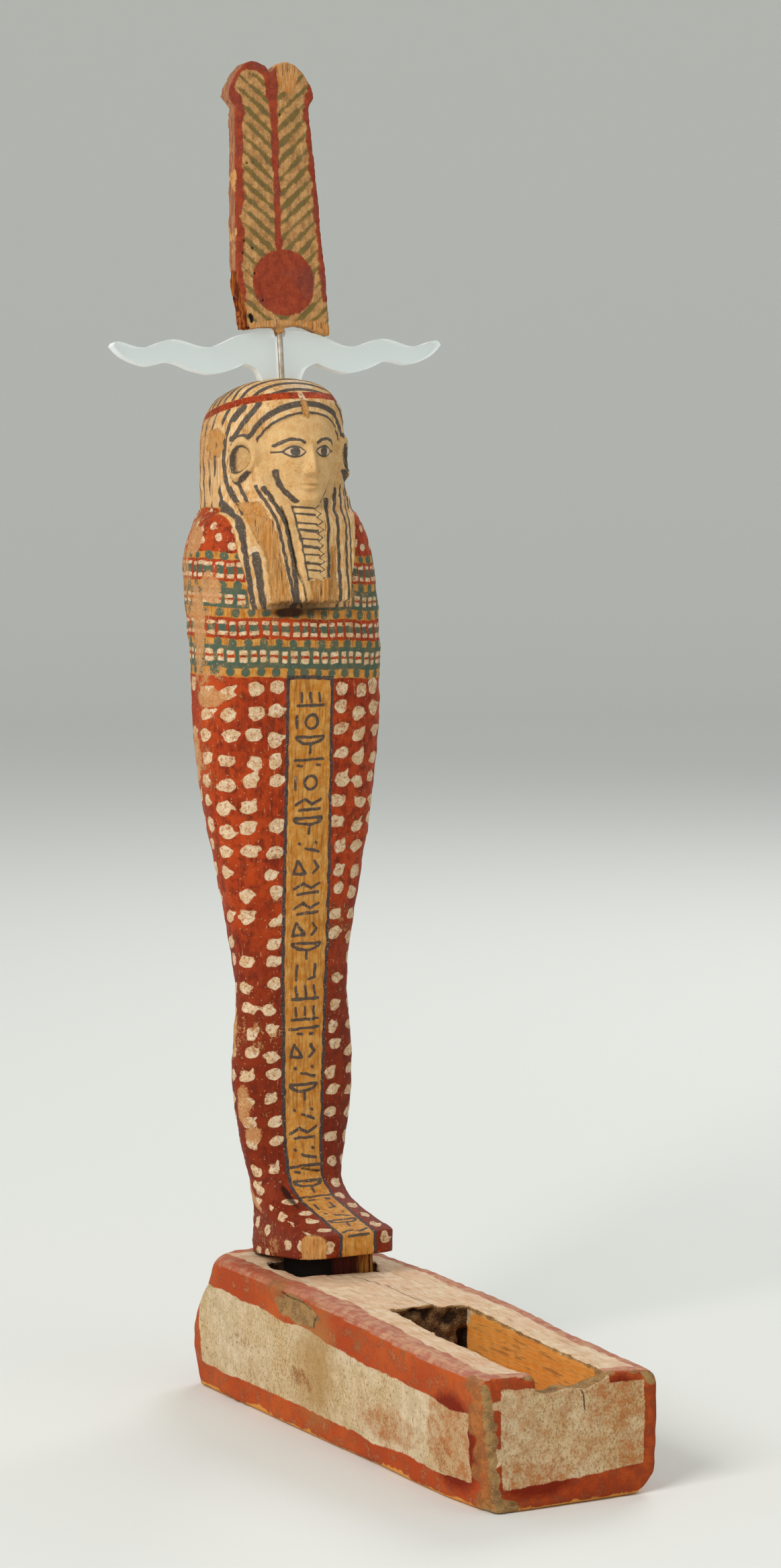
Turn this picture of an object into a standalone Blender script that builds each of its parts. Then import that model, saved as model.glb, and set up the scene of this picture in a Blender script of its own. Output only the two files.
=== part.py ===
"""Painted wooden statuette of Ptah-Sokar-Osiris on a long box plinth.

The mummy-shaped figure is carved from one piece of wood with its wig, face, beard, feet and the
tenon below the feet. It stands in a broken socket near the rear of the plinth, whose front half
holds an open box-shaped cavity. A modern clear plate in the shape of two wavy horns stands in a
mortise in the head, with a thin rod in its groove that carries the crown of two feathers.

Sizes are in millimetres until a mesh is made. The figure faces -Y, +Z is up, and the origin is
at the middle of the plinth's underside.
"""
import math

import bpy
from mathutils import Matrix, Vector

MM = 0.001
GAP = 0.3

# Plinth
PLINTH_LENGTH = 303.5
PLINTH_WIDTH = 91.8
PLINTH_FOOT_WIDTH = 87.2
PLINTH_HEIGHT = 62.0
PLINTH_RISE = 7.0
PLINTH_TILT = 5.0
PLINTH_TOP_ROUND = 4.5
PLINTH_FOOT_ROUND = 2.6
PLINTH_CORNER_CHAMFER = 8.5
PLINTH_WORN_FOOT = 5.0
# Height on the plinth, lean of the rear end and radius of its corners there
REAR_SHAPE = ((0.0, 2.0, 11.0), (11.6, 0.5, 9.5), (21.3, 0.0, 7.3), (30.0, 1.0, 9.3), (39.5, 3.0, 13.2),
              (49.3, 6.0, 18.9), (59.5, 9.5, 27.0), (72.0, 14.5, 28.0))

# Cavity and the broken notch in its front wall
CAVITY_WIDTH = 42.5
CAVITY_LENGTH = 126.0
CAVITY_DEPTH = 38.0
FRONT_WALL = 9.5
NOTCH_WIDTH = 37.0
NOTCH_DEPTH = 7.0

# Figure, its tenon and the broken socket
FIGURE_HEIGHT = 434.5
HEEL_SETBACK = 25.0
TENON_WIDTH = 36.0
TENON_THICKNESS = 37.0
TENON_LENGTH = 30.0
SOCKET_BREAK = 7.0
BREAK_DEPTH = 11.0

# Wig front, beard and face
LAPPET_RELIEF = 5.0
BEARD_RELIEF = 2.0
BEARD_WIDTH = 15.0
FACE_WIDTH = 35.5
FACE_HEIGHT = 45.5
FACE_EDGE = 21.0
EAR_RELIEF = 1.3

# Crown
CROWN_LEAN = math.radians(5.3)
CROWN_SETBACK = 3.1
CROWN_SIDE = -1.0
PLATE_THICKNESS = 6.0
PLATE_SPAN = 180.0
PLATE_RISE = 23.1
PLATE_FOOT_WIDTH = 21.4
MORTISE_DEPTH = 12.0
ROD_DIAMETER = 2.5
ROD_STAND_PROUD = 0.65
ROD_IN_PLUME = 18.0
PLUME_GAP = 1.7
PLUME_SIDE = 1.0
PLUME_HEIGHT = 130.3
PLUME_FOOT_WIDTH = 50.6
PLUME_NECK_WIDTH = 42.4
PLUME_THICKNESS = 7.0
PLUME_TIP_THICKNESS = 9.5
PLUME_TIP_BULGE = 3.7
STUB_WIDTH = 5.2
STUB_HEIGHT = 4.4


def material(name, color, roughness, alpha=1.0, metallic=0.0):
    """A plain Principled material with the piece's own colour."""
    mat = bpy.data.materials.new(name)
    mat.use_nodes = True
    shader = mat.node_tree.nodes["Principled BSDF"]
    shader.inputs["Base Color"].default_value = (*color, 1.0)
    shader.inputs["Roughness"].default_value = roughness
    shader.inputs["Metallic"].default_value = metallic
    shader.inputs["Alpha"].default_value = alpha
    return mat


def mesh_object(name, points, faces, mat=None, frame=None):
    """An object from points in millimetres, placed by the matrix of its own frame."""
    mesh = bpy.data.meshes.new(name)
    mesh.from_pydata([tuple(c * MM for c in p) for p in points], [], faces)
    mesh.validate()
    obj = bpy.data.objects.new(name, mesh)
    bpy.context.collection.objects.link(obj)
    if mat:
        mesh.materials.append(mat)
    if frame:
        obj.matrix_world = frame
    return obj


def placed(x, y, z, lean=0.0):
    """A frame at a point in millimetres, leaning back by an angle."""
    return Matrix.Translation(Vector((x, y, z)) * MM) @ Matrix.Rotation(-lean, 4, "X")


def smooth_shade(obj, angle):
    """Smooth shading that keeps edges sharper than the angle."""
    obj.data.shade_smooth()
    obj.data.set_sharp_from_angle(angle=math.radians(angle))


def cut(obj, cutter, operation="DIFFERENCE"):
    """Cut one object with another, or join them, and keep the tool out of sight."""
    cutter.hide_render = True
    cutter.display_type = "WIRE"
    step = obj.modifiers.new(cutter.name, "BOOLEAN")
    step.object = cutter
    step.operation = operation
    step.solver = "EXACT"


def step_between(low, high, value):
    """0 below low, 1 above high, and a smooth step between them."""
    t = min(max((value - low) / (high - low), 0.0), 1.0)
    return t * t * (3.0 - 2.0 * t)


def bump(value, centre, half):
    """1 at the centre, fading smoothly to 0 at half the width away."""
    return 1.0 - step_between(0.0, half, abs(value - centre))


def through(keys, value):
    """A smooth value through (place, value) keys that never overshoots them."""
    places = [k[0] for k in keys]
    if value <= places[0]:
        return keys[0][1]
    if value >= places[-1]:
        return keys[-1][1]
    i = max(j for j in range(len(keys) - 1) if places[j] <= value)

    def rise(j):
        return (keys[j + 1][1] - keys[j][1]) / (places[j + 1] - places[j])

    def slope(j):
        if j == 0 or j == len(keys) - 1:
            return rise(min(j, len(keys) - 2))
        before, after = rise(j - 1), rise(j)
        return 2.0 * before * after / (before + after) if before * after > 0 else 0.0

    span = places[i + 1] - places[i]
    t = (value - places[i]) / span
    start, end = keys[i][1], keys[i + 1][1]
    return ((2 * t**3 - 3 * t**2 + 1) * start + (t**3 - 2 * t**2 + t) * span * slope(i)
            + (3 * t**2 - 2 * t**3) * end + (t**3 - t**2) * span * slope(i + 1))


def loft(rings, cap_first=True, cap_last=True):
    """Points and faces of a closed body through rings of equal count, seen anticlockwise from the last."""
    count = len(rings[0])
    points = [p for ring in rings for p in ring]
    faces = []
    for r in range(len(rings) - 1):
        for c in range(count):
            d = (c + 1) % count
            faces.append((r * count + c, r * count + d, (r + 1) * count + d, (r + 1) * count + c))
    if cap_first:
        faces.append(tuple(range(count - 1, -1, -1)))
    if cap_last:
        faces.append(tuple((len(rings) - 1) * count + c for c in range(count)))
    return points, faces


def prism(outline, low, high):
    """Points and faces of an upright prism on an anticlockwise outline of (x, y)."""
    return loft([[(x, y, low) for x, y in outline], [(x, y, high) for x, y in outline]])


# Plinth

REAR = PLINTH_LENGTH / 2
FRONT = -REAR


def plinth_top(x, y):
    """Height of the plinth's top, which rises to the rear and falls to the right."""
    rise = PLINTH_RISE * step_between(FRONT, FRONT + 0.62 * PLINTH_LENGTH, y)
    return PLINTH_HEIGHT + rise - PLINTH_TILT * (x / PLINTH_WIDTH + 0.5)


def level_place(level, foot_round, top_round, top):
    """Height and inset of a level of the plinth's side, from its rounded foot to its rounded top."""
    kind, value = level
    if kind == "side":
        return foot_round + (top - top_round - foot_round) * value, 0.0
    angle = math.radians(value)
    if kind == "foot":
        return foot_round * (1.0 - math.sin(angle)), foot_round * (1.0 - math.cos(angle))
    return top - top_round * (1.0 - math.sin(angle)), top_round * (1.0 - math.cos(angle))


def plinth_side(side, level):
    """One side of the ring at a level, from the middle of the front to the middle of the rear."""
    rear_top = plinth_top(side * PLINTH_WIDTH / 2, REAR)
    rear_z = level_place(level, PLINTH_FOOT_ROUND, PLINTH_TOP_ROUND, rear_top)[0]
    rear = REAR - through([(k[0], k[1]) for k in REAR_SHAPE], rear_z)
    radius = through([(k[0], k[2]) for k in REAR_SHAPE], rear_z)
    plan = [(0.3, 0.0, FRONT), (1.0, 2.5, FRONT + 0.4), (1.0, 0.7, FRONT + 1.0), (1.0, 0.0, FRONT + 2.8)]
    plan += [(1.0, 0.0, FRONT + place) for place in (18.0, 40.0, 75.0, 110.0, 150.0, 185.0, 215.0, 240.0)]
    for degrees in (0.0, 22.5, 45.0, 67.5, 90.0):
        angle = math.radians(degrees)
        plan.append((1.0, radius * (1.0 - math.cos(angle)), rear - radius * (1.0 - math.sin(angle))))
    plan.append((0.35, 0.35 * radius, rear + 0.8))
    points = []
    for share, offset, y in plan:
        end = 1.0 - min((y - FRONT) / 30.0, 1.0)
        foot_round = PLINTH_FOOT_ROUND * (1.0 + 0.9 * bump(y, 0.36 * PLINTH_LENGTH, 30.0)
                                          + 0.7 * bump(y, -0.12 * PLINTH_LENGTH, 42.0))
        top_round = PLINTH_TOP_ROUND * (1.0 + (0.5 * end if side > 0 and share == 1.0 else 0.0))
        top = plinth_top(side * share * PLINTH_WIDTH / 2, y)
        z, inset = level_place(level, foot_round, top_round, top)
        half = 0.5 * (PLINTH_FOOT_WIDTH + (PLINTH_WIDTH - PLINTH_FOOT_WIDTH) * z / top)
        half += 0.4 * bump(z / top, 0.5, 0.5)
        half -= PLINTH_WORN_FOOT * end * (1.0 - z / top) if side < 0 else max(PLINTH_CORNER_CHAMFER - z, 0.0) * end
        end_inset = level_place(level, PLINTH_FOOT_ROUND, PLINTH_TOP_ROUND, top)[1]
        y += end_inset * (1.0 - 2.0 * (y - FRONT) / PLINTH_LENGTH)
        points.append((side * (share * (half - inset) - offset), y, z))
    return points


def make_plinth():
    levels = [("foot", 90.0), ("foot", 45.0), ("foot", 0.0)]
    levels += [("side", share) for share in (0.13, 0.26, 0.4, 0.55, 0.7, 0.85)]
    levels += [("top", 0.0), ("top", 30.0), ("top", 60.0), ("top", 90.0)]
    rings = [plinth_side(1, level) + plinth_side(-1, level)[::-1] for level in levels]
    points, faces = loft(rings, cap_first=False, cap_last=False)
    count = len(rings[0])
    last = (len(rings) - 1) * count
    for a in range(count // 2 - 1):
        b, c, d = a + 1, count - 2 - a, count - 1 - a
        faces.append((d, c, b, a))
        faces.append((last + a, last + b, last + c, last + d))
    wood = material("plinth_wood", (0.62, 0.50, 0.38), 0.85)
    plinth = mesh_object("plinth", points, faces, wood)

    half = CAVITY_WIDTH / 2
    near = FRONT + FRONT_WALL
    far = near + CAVITY_LENGTH
    floor = PLINTH_HEIGHT - CAVITY_DEPTH
    mouth = PLINTH_HEIGHT + 20.0
    steps = 8
    rear_wall = []
    for s in range(steps + 1):
        ragged = 2.2 * math.sin(5.1 * s) + 1.3 * math.sin(2.3 * s + 1.0)
        rear_wall.append((half - CAVITY_WIDTH * s / steps, far + ragged))
    outline = [(-half, near), (half - 1.5, near)] + rear_wall
    narrower = [(x * 0.97, y - 1.5 if y > 0.5 * (near + far) else y + 0.5) for x, y in outline]
    low = [(x, y, floor) for x, y in narrower]
    high = [(x, y, mouth) for x, y in outline]
    cut(plinth, mesh_object("cavity_cut", *loft([low, high])))

    brim = plinth_top(0, FRONT) - NOTCH_DEPTH
    wave = [0.9, -0.6, 0.2, 1.2, 0.4, -0.2, 1.5, 3.6]
    width = NOTCH_WIDTH / (len(wave) - 1)
    bottom = [(-NOTCH_WIDTH / 2 + width * i, brim + w) for i, w in enumerate(wave)]
    profile = bottom + [(NOTCH_WIDTH / 2 + 3.5, mouth), (-NOTCH_WIDTH / 2 - 0.5, mouth)]
    front_ring = [(x, FRONT - 5.0, z) for x, z in profile]
    rear_ring = [(x * 0.99, near + 4.0, z) for x, z in profile]
    cut(plinth, mesh_object("notch_cut", *loft([rear_ring, front_ring])))

    play = GAP + 0.2
    side_x = TENON_WIDTH / 2 + play
    socket = [(-side_x - SOCKET_BREAK, TENON_FRONT - play), (side_x, TENON_FRONT - play),
              (side_x, TENON_REAR + play), (-side_x - 0.6 * SOCKET_BREAK, TENON_REAR + play)]
    cut(plinth, mesh_object("socket_cut", *prism(socket, FIGURE_Z - TENON_LENGTH - GAP, mouth)))

    middle_y = 0.5 * (TENON_FRONT + TENON_REAR)
    break_out = []
    ragged_rim = [1.5, 5.5, 3.0, 8.5, 12.5, 9.0, 4.0, 1.6, 3.4, 9.5, 12.0, 6.5, 2.2, 4.8]
    for i, reach in enumerate(ragged_rim):
        angle = -math.pi / 2 + 2 * math.pi * i / len(ragged_rim)
        box = 1.0 / max(abs(math.cos(angle)), abs(math.sin(angle)))
        break_out.append((math.cos(angle) * (TENON_WIDTH / 2 * box + reach),
                          middle_y + math.sin(angle) * (TENON_THICKNESS / 2 * box + 0.5 * reach)))
    lower = [(0.82 * x, middle_y + 0.82 * (y - middle_y), FIGURE_Z - BREAK_DEPTH) for x, y in break_out]
    upper = [(1.06 * x, middle_y + 1.06 * (y - middle_y), FIGURE_Z + 5.0) for x, y in break_out]
    cut(plinth, mesh_object("break_cut", *loft([lower, upper])))
    smooth_shade(plinth, 32)
    return plinth


# Figure

# Each station of the carving from the soles up, in millimetres at STATION_HEIGHT: half width,
# front edge (y, z), back edge (y, z), squareness of the front and of the back, and the number
# of rows up to the next station.
STATION_HEIGHT = 434.5
STATIONS = (
    (25.0, (-72.4, 8.5), (4.0, 0.0), 5.0, 4.2, 1),      # sole
    (25.6, (-73.0, 18.8), (5.0, 5.5), 5.0, 4.0, 1),     # edge of the toes
    (25.4, (-62.0, 22.4), (5.0, 9.0), 3.2, 3.4, 1),     # toes
    (24.6, (-46.0, 26.8), (5.0, 14.0), 2.4, 3.0, 1),    # instep
    (23.6, (-31.0, 31.8), (5.2, 21.5), 2.1, 2.6, 1),    # top of the foot
    (23.6, (-21.4, 40.0), (6.4, 31.0), 2.1, 2.4, 2),    # ankle
    (27.2, (-19.0, 55.0), (9.6, 50.0), 2.2, 2.3, 1),    # above the ankle
    (29.9, (-18.7, 69.0), (11.5, 68.5), 2.2, 2.3, 1),   # lower calf
    (31.8, (-19.2, 88.5), (13.2, 88.5), 2.2, 2.3, 1),   # calf
    (31.0, (-20.2, 109.5), (11.8, 109.5), 2.2, 2.3, 1), # below the knee
    (28.9, (-21.2, 129.5), (14.3, 129.5), 2.2, 2.3, 1), # knee
    (30.3, (-22.5, 149.5), (18.1, 149.5), 2.2, 2.3, 2), # above the knee
    (37.5, (-25.2, 189.5), (21.3, 189.5), 2.2, 2.3, 2), # thigh
    (44.5, (-27.7, 229.5), (28.0, 229.5), 2.2, 2.3, 2), # hip
    (48.3, (-30.2, 269.5), (30.5, 269.5), 2.2, 2.3, 2), # waist
    (48.9, (-31.5, 300.0), (32.8, 300.0), 2.15, 2.3, 3), # elbow
    (49.2, (-31.0, 319.5), (37.4, 319.5), 2.1, 2.3, 6), # chest
    (48.5, (-29.6, 339.5), (43.5, 339.5), 2.1, 2.3, 3), # upper arm
    (47.0, (-29.2, 349.5), (44.8, 349.5), 2.1, 2.3, 3), # shoulder
    (43.6, (-29.0, 359.5), (44.8, 359.5), 2.1, 2.3, 2), # top of the shoulder
    (39.6, (-28.6, 365.5), (45.2, 365.5), 2.1, 2.4, 2), # neck end of the shoulder
    (33.9, (-27.2, 371.5), (45.4, 371.5), 2.1, 2.5, 7), # wig below the ears
    (33.0, (-26.4, 389.5), (45.8, 389.5), 2.1, 2.6, 5), # wig at the ears
    (32.6, (-26.8, 401.5), (46.6, 401.5), 2.1, 2.6, 4), # temples
    (31.8, (-28.2, 411.5), (45.0, 411.5), 2.1, 2.6, 3), # brow of the wig
    (30.0, (-29.0, 418.5), (41.0, 418.5), 2.1, 2.5, 2), # above the brow
    (26.8, (-26.8, 424.0), (37.0, 424.0), 2.1, 2.4, 2), # crown of the head
    (22.6, (-21.5, 429.0), (26.5, 429.0), 2.1, 2.2, 1),
    (15.0, (-14.5, 432.6), (14.0, 432.6), 2.0, 2.0, 1),
    (5.0, (-8.0, 434.5), (2.0, 434.5), 2.0, 2.0, 1),    # flat top around the mortise
)
FIGURE_SHARE = FIGURE_HEIGHT / STATION_HEIGHT
FIGURE_Y = REAR - HEEL_SETBACK
FIGURE_Z = plinth_top(-STATIONS[0][0] * FIGURE_SHARE, FIGURE_Y) + GAP
FOOT_LENGTH = (STATIONS[0][2][0] - STATIONS[0][1][0]) * FIGURE_SHARE
TENON_REAR = FIGURE_Y - 0.33 * FOOT_LENGTH
TENON_FRONT = TENON_REAR - TENON_THICKNESS

CHIN_Z = 372.0
HAIRLINE_Z = CHIN_Z + FACE_HEIGHT
LEDGE_Z = 325.0
FRONT_COLUMNS = 26
BACK_COLUMNS = 20
FRONT_SPREAD = 0.88


def column_angles():
    """Angles round a section from the front, finely spaced where the face and beard are."""
    angles = []
    for i in range(FRONT_COLUMNS + 1):
        share = FRONT_SPREAD * (2.0 * i / FRONT_COLUMNS - 1.0)
        angles.append(math.copysign(math.asin(abs(share) ** 1.2), share))
    turn = 2 * math.pi - 2 * angles[-1]
    for i in range(1, BACK_COLUMNS):
        angles.append(angles[FRONT_COLUMNS] + turn * i / BACK_COLUMNS)
    return angles


def rounded(value, power):
    return math.copysign(abs(value) ** power, value)


def lappet_half(z):
    """Half width of the two wig ends that hang over the chest, with the beard between them."""
    return through(((LEDGE_Z, 22.5), (340.0, 25.5), (352.0, 29.0), (362.0, 32.5), (375.0, 40.0)), z)


def chest_relief(x, z):
    """How far the wig ends and the beard stand out from the chest."""
    side = 1.0 - step_between(lappet_half(z) - 1.8, lappet_half(z) + 0.8, abs(x))
    height = step_between(LEDGE_Z - 1.2, LEDGE_Z + 1.6, z) * (1.0 - step_between(366.0, 384.0, z))
    beard = 1.0 - step_between(BEARD_WIDTH / 2 - 0.8, BEARD_WIDTH / 2 + 0.8, abs(x - 1.0))
    beard *= 1.0 - step_between(CHIN_Z + 3.0, CHIN_Z + 8.0, z)
    return height * (LAPPET_RELIEF * side + BEARD_RELIEF * beard)


def face_forward(x, z):
    """Distance of a calm, even face in front of the figure's axis plane, or 0 beside it."""
    v = (z - CHIN_Z) / FACE_HEIGHT
    half = FACE_WIDTH / 2 * through(((-0.06, 0.30), (0.0, 0.42), (0.12, 0.68), (0.3, 0.88),
                                     (0.55, 1.0), (0.85, 1.0), (1.0, 0.96)), v)
    u = abs(x) / half
    if v < -0.06 or v > 1.02 or u >= 1.0:
        return 0.0
    middle = through(((-0.06, 31.0), (0.0, 34.0), (0.1, 35.6), (0.18, 35.0), (0.3, 35.2),
                      (0.5, 35.0), (0.66, 35.2), (0.85, 34.2), (1.02, 31.8)), v)
    surface = FACE_EDGE + (middle - FACE_EDGE) * (1.0 - u**2.4) ** 0.62
    nose = through(((0.31, 0.0), (0.36, 4.4), (0.42, 4.6), (0.66, 0.4)), v) if 0.31 < v < 0.66 else 0.0
    nose *= math.exp(-(x / through(((0.3, 3.6), (0.42, 3.0), (0.66, 1.9)), v)) ** 2)
    lips = 1.5 * bump(v, 0.235, 0.075) * bump(x, 0.0, 7.5) - 1.0 * bump(v, 0.235, 0.02) * bump(x, 0.0, 6.0)
    chin = 1.3 * bump(v, 0.08, 0.1) * bump(x, 0.0, 9.0)
    brow = 0.9 * bump(v, 0.69 - 0.05 * u, 0.06) * bump(abs(x), 9.5, 11.0)
    socket = -1.7 * bump(v, 0.585, 0.1) * bump(abs(x), 9.2, 8.5)
    eye = 1.3 * bump(v, 0.58, 0.055) * bump(abs(x), 9.2, 5.6)
    return surface + nose + lips + chin + brow + socket + eye


def ear_relief(x, y, z):
    """How far an ear stands out from the side of the wig."""
    up = (z - (CHIN_Z + 0.52 * FACE_HEIGHT)) / 11.5
    along = (y + 14.5) / 7.0
    reach = math.hypot(up, along)
    return EAR_RELIEF * (1.0 - step_between(0.75, 1.1, reach)) if abs(x) > 20.0 else 0.0


def section_point(station, angle):
    """A point of a section at an angle from the front, positive to the figure's left."""
    half, front, back, front_power, back_power = station
    side, ahead = math.sin(angle), math.cos(angle)
    power = 2.0 / (front_power if ahead > 0 else back_power)
    widest = 0.36
    x = half * rounded(side, power)
    if ahead > 0:
        share = widest * (1.0 - abs(ahead) ** power)
    else:
        share = widest + (1.0 - widest) * abs(ahead) ** power
    y = front[0] + (back[0] - front[0]) * share
    z = front[1] + (back[1] - front[1]) * share
    if z > LEDGE_Z - 10.0 and ahead > 0:
        y -= chest_relief(x, z)
        face = face_forward(x, z)
        if face > 0.0:
            y = min(y, -face)
        ear = ear_relief(x, y, z)
        x += math.copysign(0.8 * ear, x)
        y -= 0.6 * ear
    return x, y, z


def station_at(place):
    """The station at a place along the list, smoothed between its neighbours."""
    def field(get):
        return through([(i, get(s)) for i, s in enumerate(STATIONS)], place)
    return (field(lambda s: s[0]),
            (field(lambda s: s[1][0]), field(lambda s: s[1][1])),
            (field(lambda s: s[2][0]), field(lambda s: s[2][1])),
            field(lambda s: s[3]), field(lambda s: s[4]))


def row_places():
    places = []
    for i, station in enumerate(STATIONS[:-1]):
        places += [i + r / station[5] for r in range(station[5])]
    return places + [len(STATIONS) - 1]


def make_figure():
    angles = column_angles()
    rings = []
    for place in row_places():
        station = station_at(place)
        ring = [section_point(station, a) for a in angles]
        rings.append([tuple(c * FIGURE_SHARE for c in p) for p in ring])

    sole = rings[0]
    middle = 0.5 * (TENON_FRONT + TENON_REAR) - FIGURE_Y
    tenon_top, tenon_foot = [], []
    for angle, (x, y, z) in zip(angles, sole):
        side, ahead = math.sin(angle), math.cos(angle)
        reach = 1.0 / max(abs(side), abs(ahead))
        tx = TENON_WIDTH / 2 * side * reach
        ty = middle - TENON_THICKNESS / 2 * ahead * reach
        rise = sole[FRONT_COLUMNS // 2][2] * (ty / sole[FRONT_COLUMNS // 2][1])
        tenon_top.append((tx, ty, max(rise, 0.0)))
        tenon_foot.append((tx, ty, -TENON_LENGTH))
    points, faces = loft([tenon_foot, tenon_top] + rings)
    paint = material("figure_paint", (0.50, 0.16, 0.08), 0.7)
    frame = placed(0, FIGURE_Y, FIGURE_Z)
    figure = mesh_object("figure", points, faces, paint, frame)

    half = PLATE_FOOT_WIDTH / 2 + GAP
    front = -(PLATE_THICKNESS / 2 + ROD_STAND_PROUD + GAP)
    rear = PLATE_THICKNESS / 2 + GAP
    mortise = [(-half, front), (half, front), (half, rear), (-half, rear)]
    cut(figure, mesh_object("mortise_cut", *prism(mortise, -MORTISE_DEPTH, 15.0), frame=CROWN))
    smooth_shade(figure, 50)
    return figure


# Crown

CROWN = placed(CROWN_SIDE, FIGURE_Y - CROWN_SETBACK * FIGURE_SHARE, FIGURE_Z + FIGURE_HEIGHT, CROWN_LEAN)
ROD_Y = -(PLATE_THICKNESS / 2 + ROD_STAND_PROUD - ROD_DIAMETER / 2)
PLUME_FOOT = PLATE_RISE + PLUME_GAP


def curve_through(keys, steps):
    """Points on a smooth curve through keys, with the same number of steps between each pair."""
    padded = [keys[0]] + list(keys) + [keys[-1]]
    points = []
    for i in range(1, len(padded) - 2):
        a, b, c, d = (Vector(padded[j]) for j in (i - 1, i, i + 1, i + 2))
        for s in range(steps):
            t = s / steps
            points.append(0.5 * (2 * b + (c - a) * t + (2 * a - 5 * b + 4 * c - d) * t**2
                                 + (3 * b - a - 3 * c + d) * t**3))
    points.append(Vector(keys[-1]))
    return [tuple(p) for p in points]


def horn_outline():
    """Right half of the plate from its notch at the top, out round the tip and down to its foot."""
    span = PLATE_SPAN / 2
    notch = STUB_WIDTH / 2 + 2 * GAP
    top = [(notch, PLATE_RISE + 0.3), (0.22 * span, PLATE_RISE - 1.5), (0.43 * span, PLATE_RISE - 8.0),
           (0.64 * span, PLATE_RISE - 4.0), (0.82 * span, PLATE_RISE - 8.0),
           (0.965 * span, PLATE_RISE - 5.0), (span, PLATE_RISE - 7.2)]
    under = [(span, PLATE_RISE - 7.2), (0.93 * span, PLATE_RISE - 12.8), (0.80 * span, PLATE_RISE - 16.8),
             (0.66 * span, PLATE_RISE - 15.0), (0.53 * span, PLATE_RISE - 19.0),
             (0.41 * span, PLATE_RISE - 21.0), (0.29 * span, PLATE_RISE - 18.6),
             (0.22 * span, PLATE_RISE - 16.0)]
    trunk = [(0.22 * span, PLATE_RISE - 16.0), (0.165 * span, PLATE_RISE - 17.8),
             (PLATE_FOOT_WIDTH / 2 + 1.6, 2.6), (PLATE_FOOT_WIDTH / 2, -1.0)]
    foot = [(PLATE_FOOT_WIDTH / 2, GAP - MORTISE_DEPTH)]
    return curve_through(top, 5) + curve_through(under, 5)[1:] + curve_through(trunk, 4)[1:] + foot


def make_plate():
    right = horn_outline()
    notch_floor = (0.0, PLATE_RISE - STUB_HEIGHT + PLUME_GAP - 0.6)
    notch_side = (right[0][0] - GAP, notch_floor[1] + 0.4)
    half = [notch_floor, notch_side] + right
    outline = half + [(-x, z) for x, z in reversed(half[1:])]
    front = [(x, -PLATE_THICKNESS / 2, z) for x, z in outline]
    back = [(x, PLATE_THICKNESS / 2, z) for x, z in outline]
    points, faces = loft([front, back])
    acrylic = material("acrylic", (0.86, 0.92, 0.91), 0.45, alpha=0.45)
    plate = mesh_object("horn_plate", points, faces, acrylic, CROWN)
    side = ROD_DIAMETER / 2 + GAP
    groove = [(-side, -PLATE_THICKNESS), (side, -PLATE_THICKNESS),
              (side, ROD_Y + ROD_DIAMETER / 2 + GAP), (-side, ROD_Y + ROD_DIAMETER / 2 + GAP)]
    cut(plate, mesh_object("groove_cut", *prism(groove, -MORTISE_DEPTH - 5.0, PLATE_RISE + 5.0),
                           frame=CROWN))
    smooth_shade(plate, 35)
    return plate


def make_rod():
    sides = 12
    ring = [(ROD_DIAMETER / 2 * math.cos(2 * math.pi * i / sides),
             ROD_Y + ROD_DIAMETER / 2 * math.sin(2 * math.pi * i / sides)) for i in range(sides)]
    steel = material("rod_metal", (0.62, 0.58, 0.52), 0.35, metallic=1.0)
    rod = mesh_object("crown_rod", *prism(ring, GAP - MORTISE_DEPTH, PLUME_FOOT + ROD_IN_PLUME - GAP),
                      steel, CROWN)
    smooth_shade(rod, 40)
    return rod


def plume_half(up):
    """Half width of the feathers at a height above their foot."""
    step_place = 0.855 * PLUME_HEIGHT
    neck = PLUME_NECK_WIDTH / 2
    foot = PLUME_FOOT_WIDTH / 2
    half = through(((0.0, foot + 0.6), (0.22 * PLUME_HEIGHT, foot - 0.4), (0.72 * PLUME_HEIGHT, neck + 0.5),
                    (step_place, neck - 0.6)), up)
    if up > step_place:
        over = (up - step_place) / (PLUME_HEIGHT - step_place)
        half += PLUME_TIP_BULGE * step_between(0.0, 0.12, over) - 4.6 * max(over - 0.25, 0.0) ** 1.6
    return half


def lobe_top(share):
    """Height of the two rounded feather tips at a share of the half width."""
    inner = abs(abs(share) - 0.46) / 0.46
    drop = 6.0 if abs(share) < 0.46 else 12.0
    return PLUME_HEIGHT - drop * min(inner, 1.17) ** 2.2


def plume_back(up):
    """Thickness of the feathers at a height, with heavier tips."""
    return PLUME_THICKNESS - 0.6 * step_between(20.0, 60.0, up) + (
        PLUME_TIP_THICKNESS - PLUME_THICKNESS) * step_between(0.84 * PLUME_HEIGHT, 0.88 * PLUME_HEIGHT, up)


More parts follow.
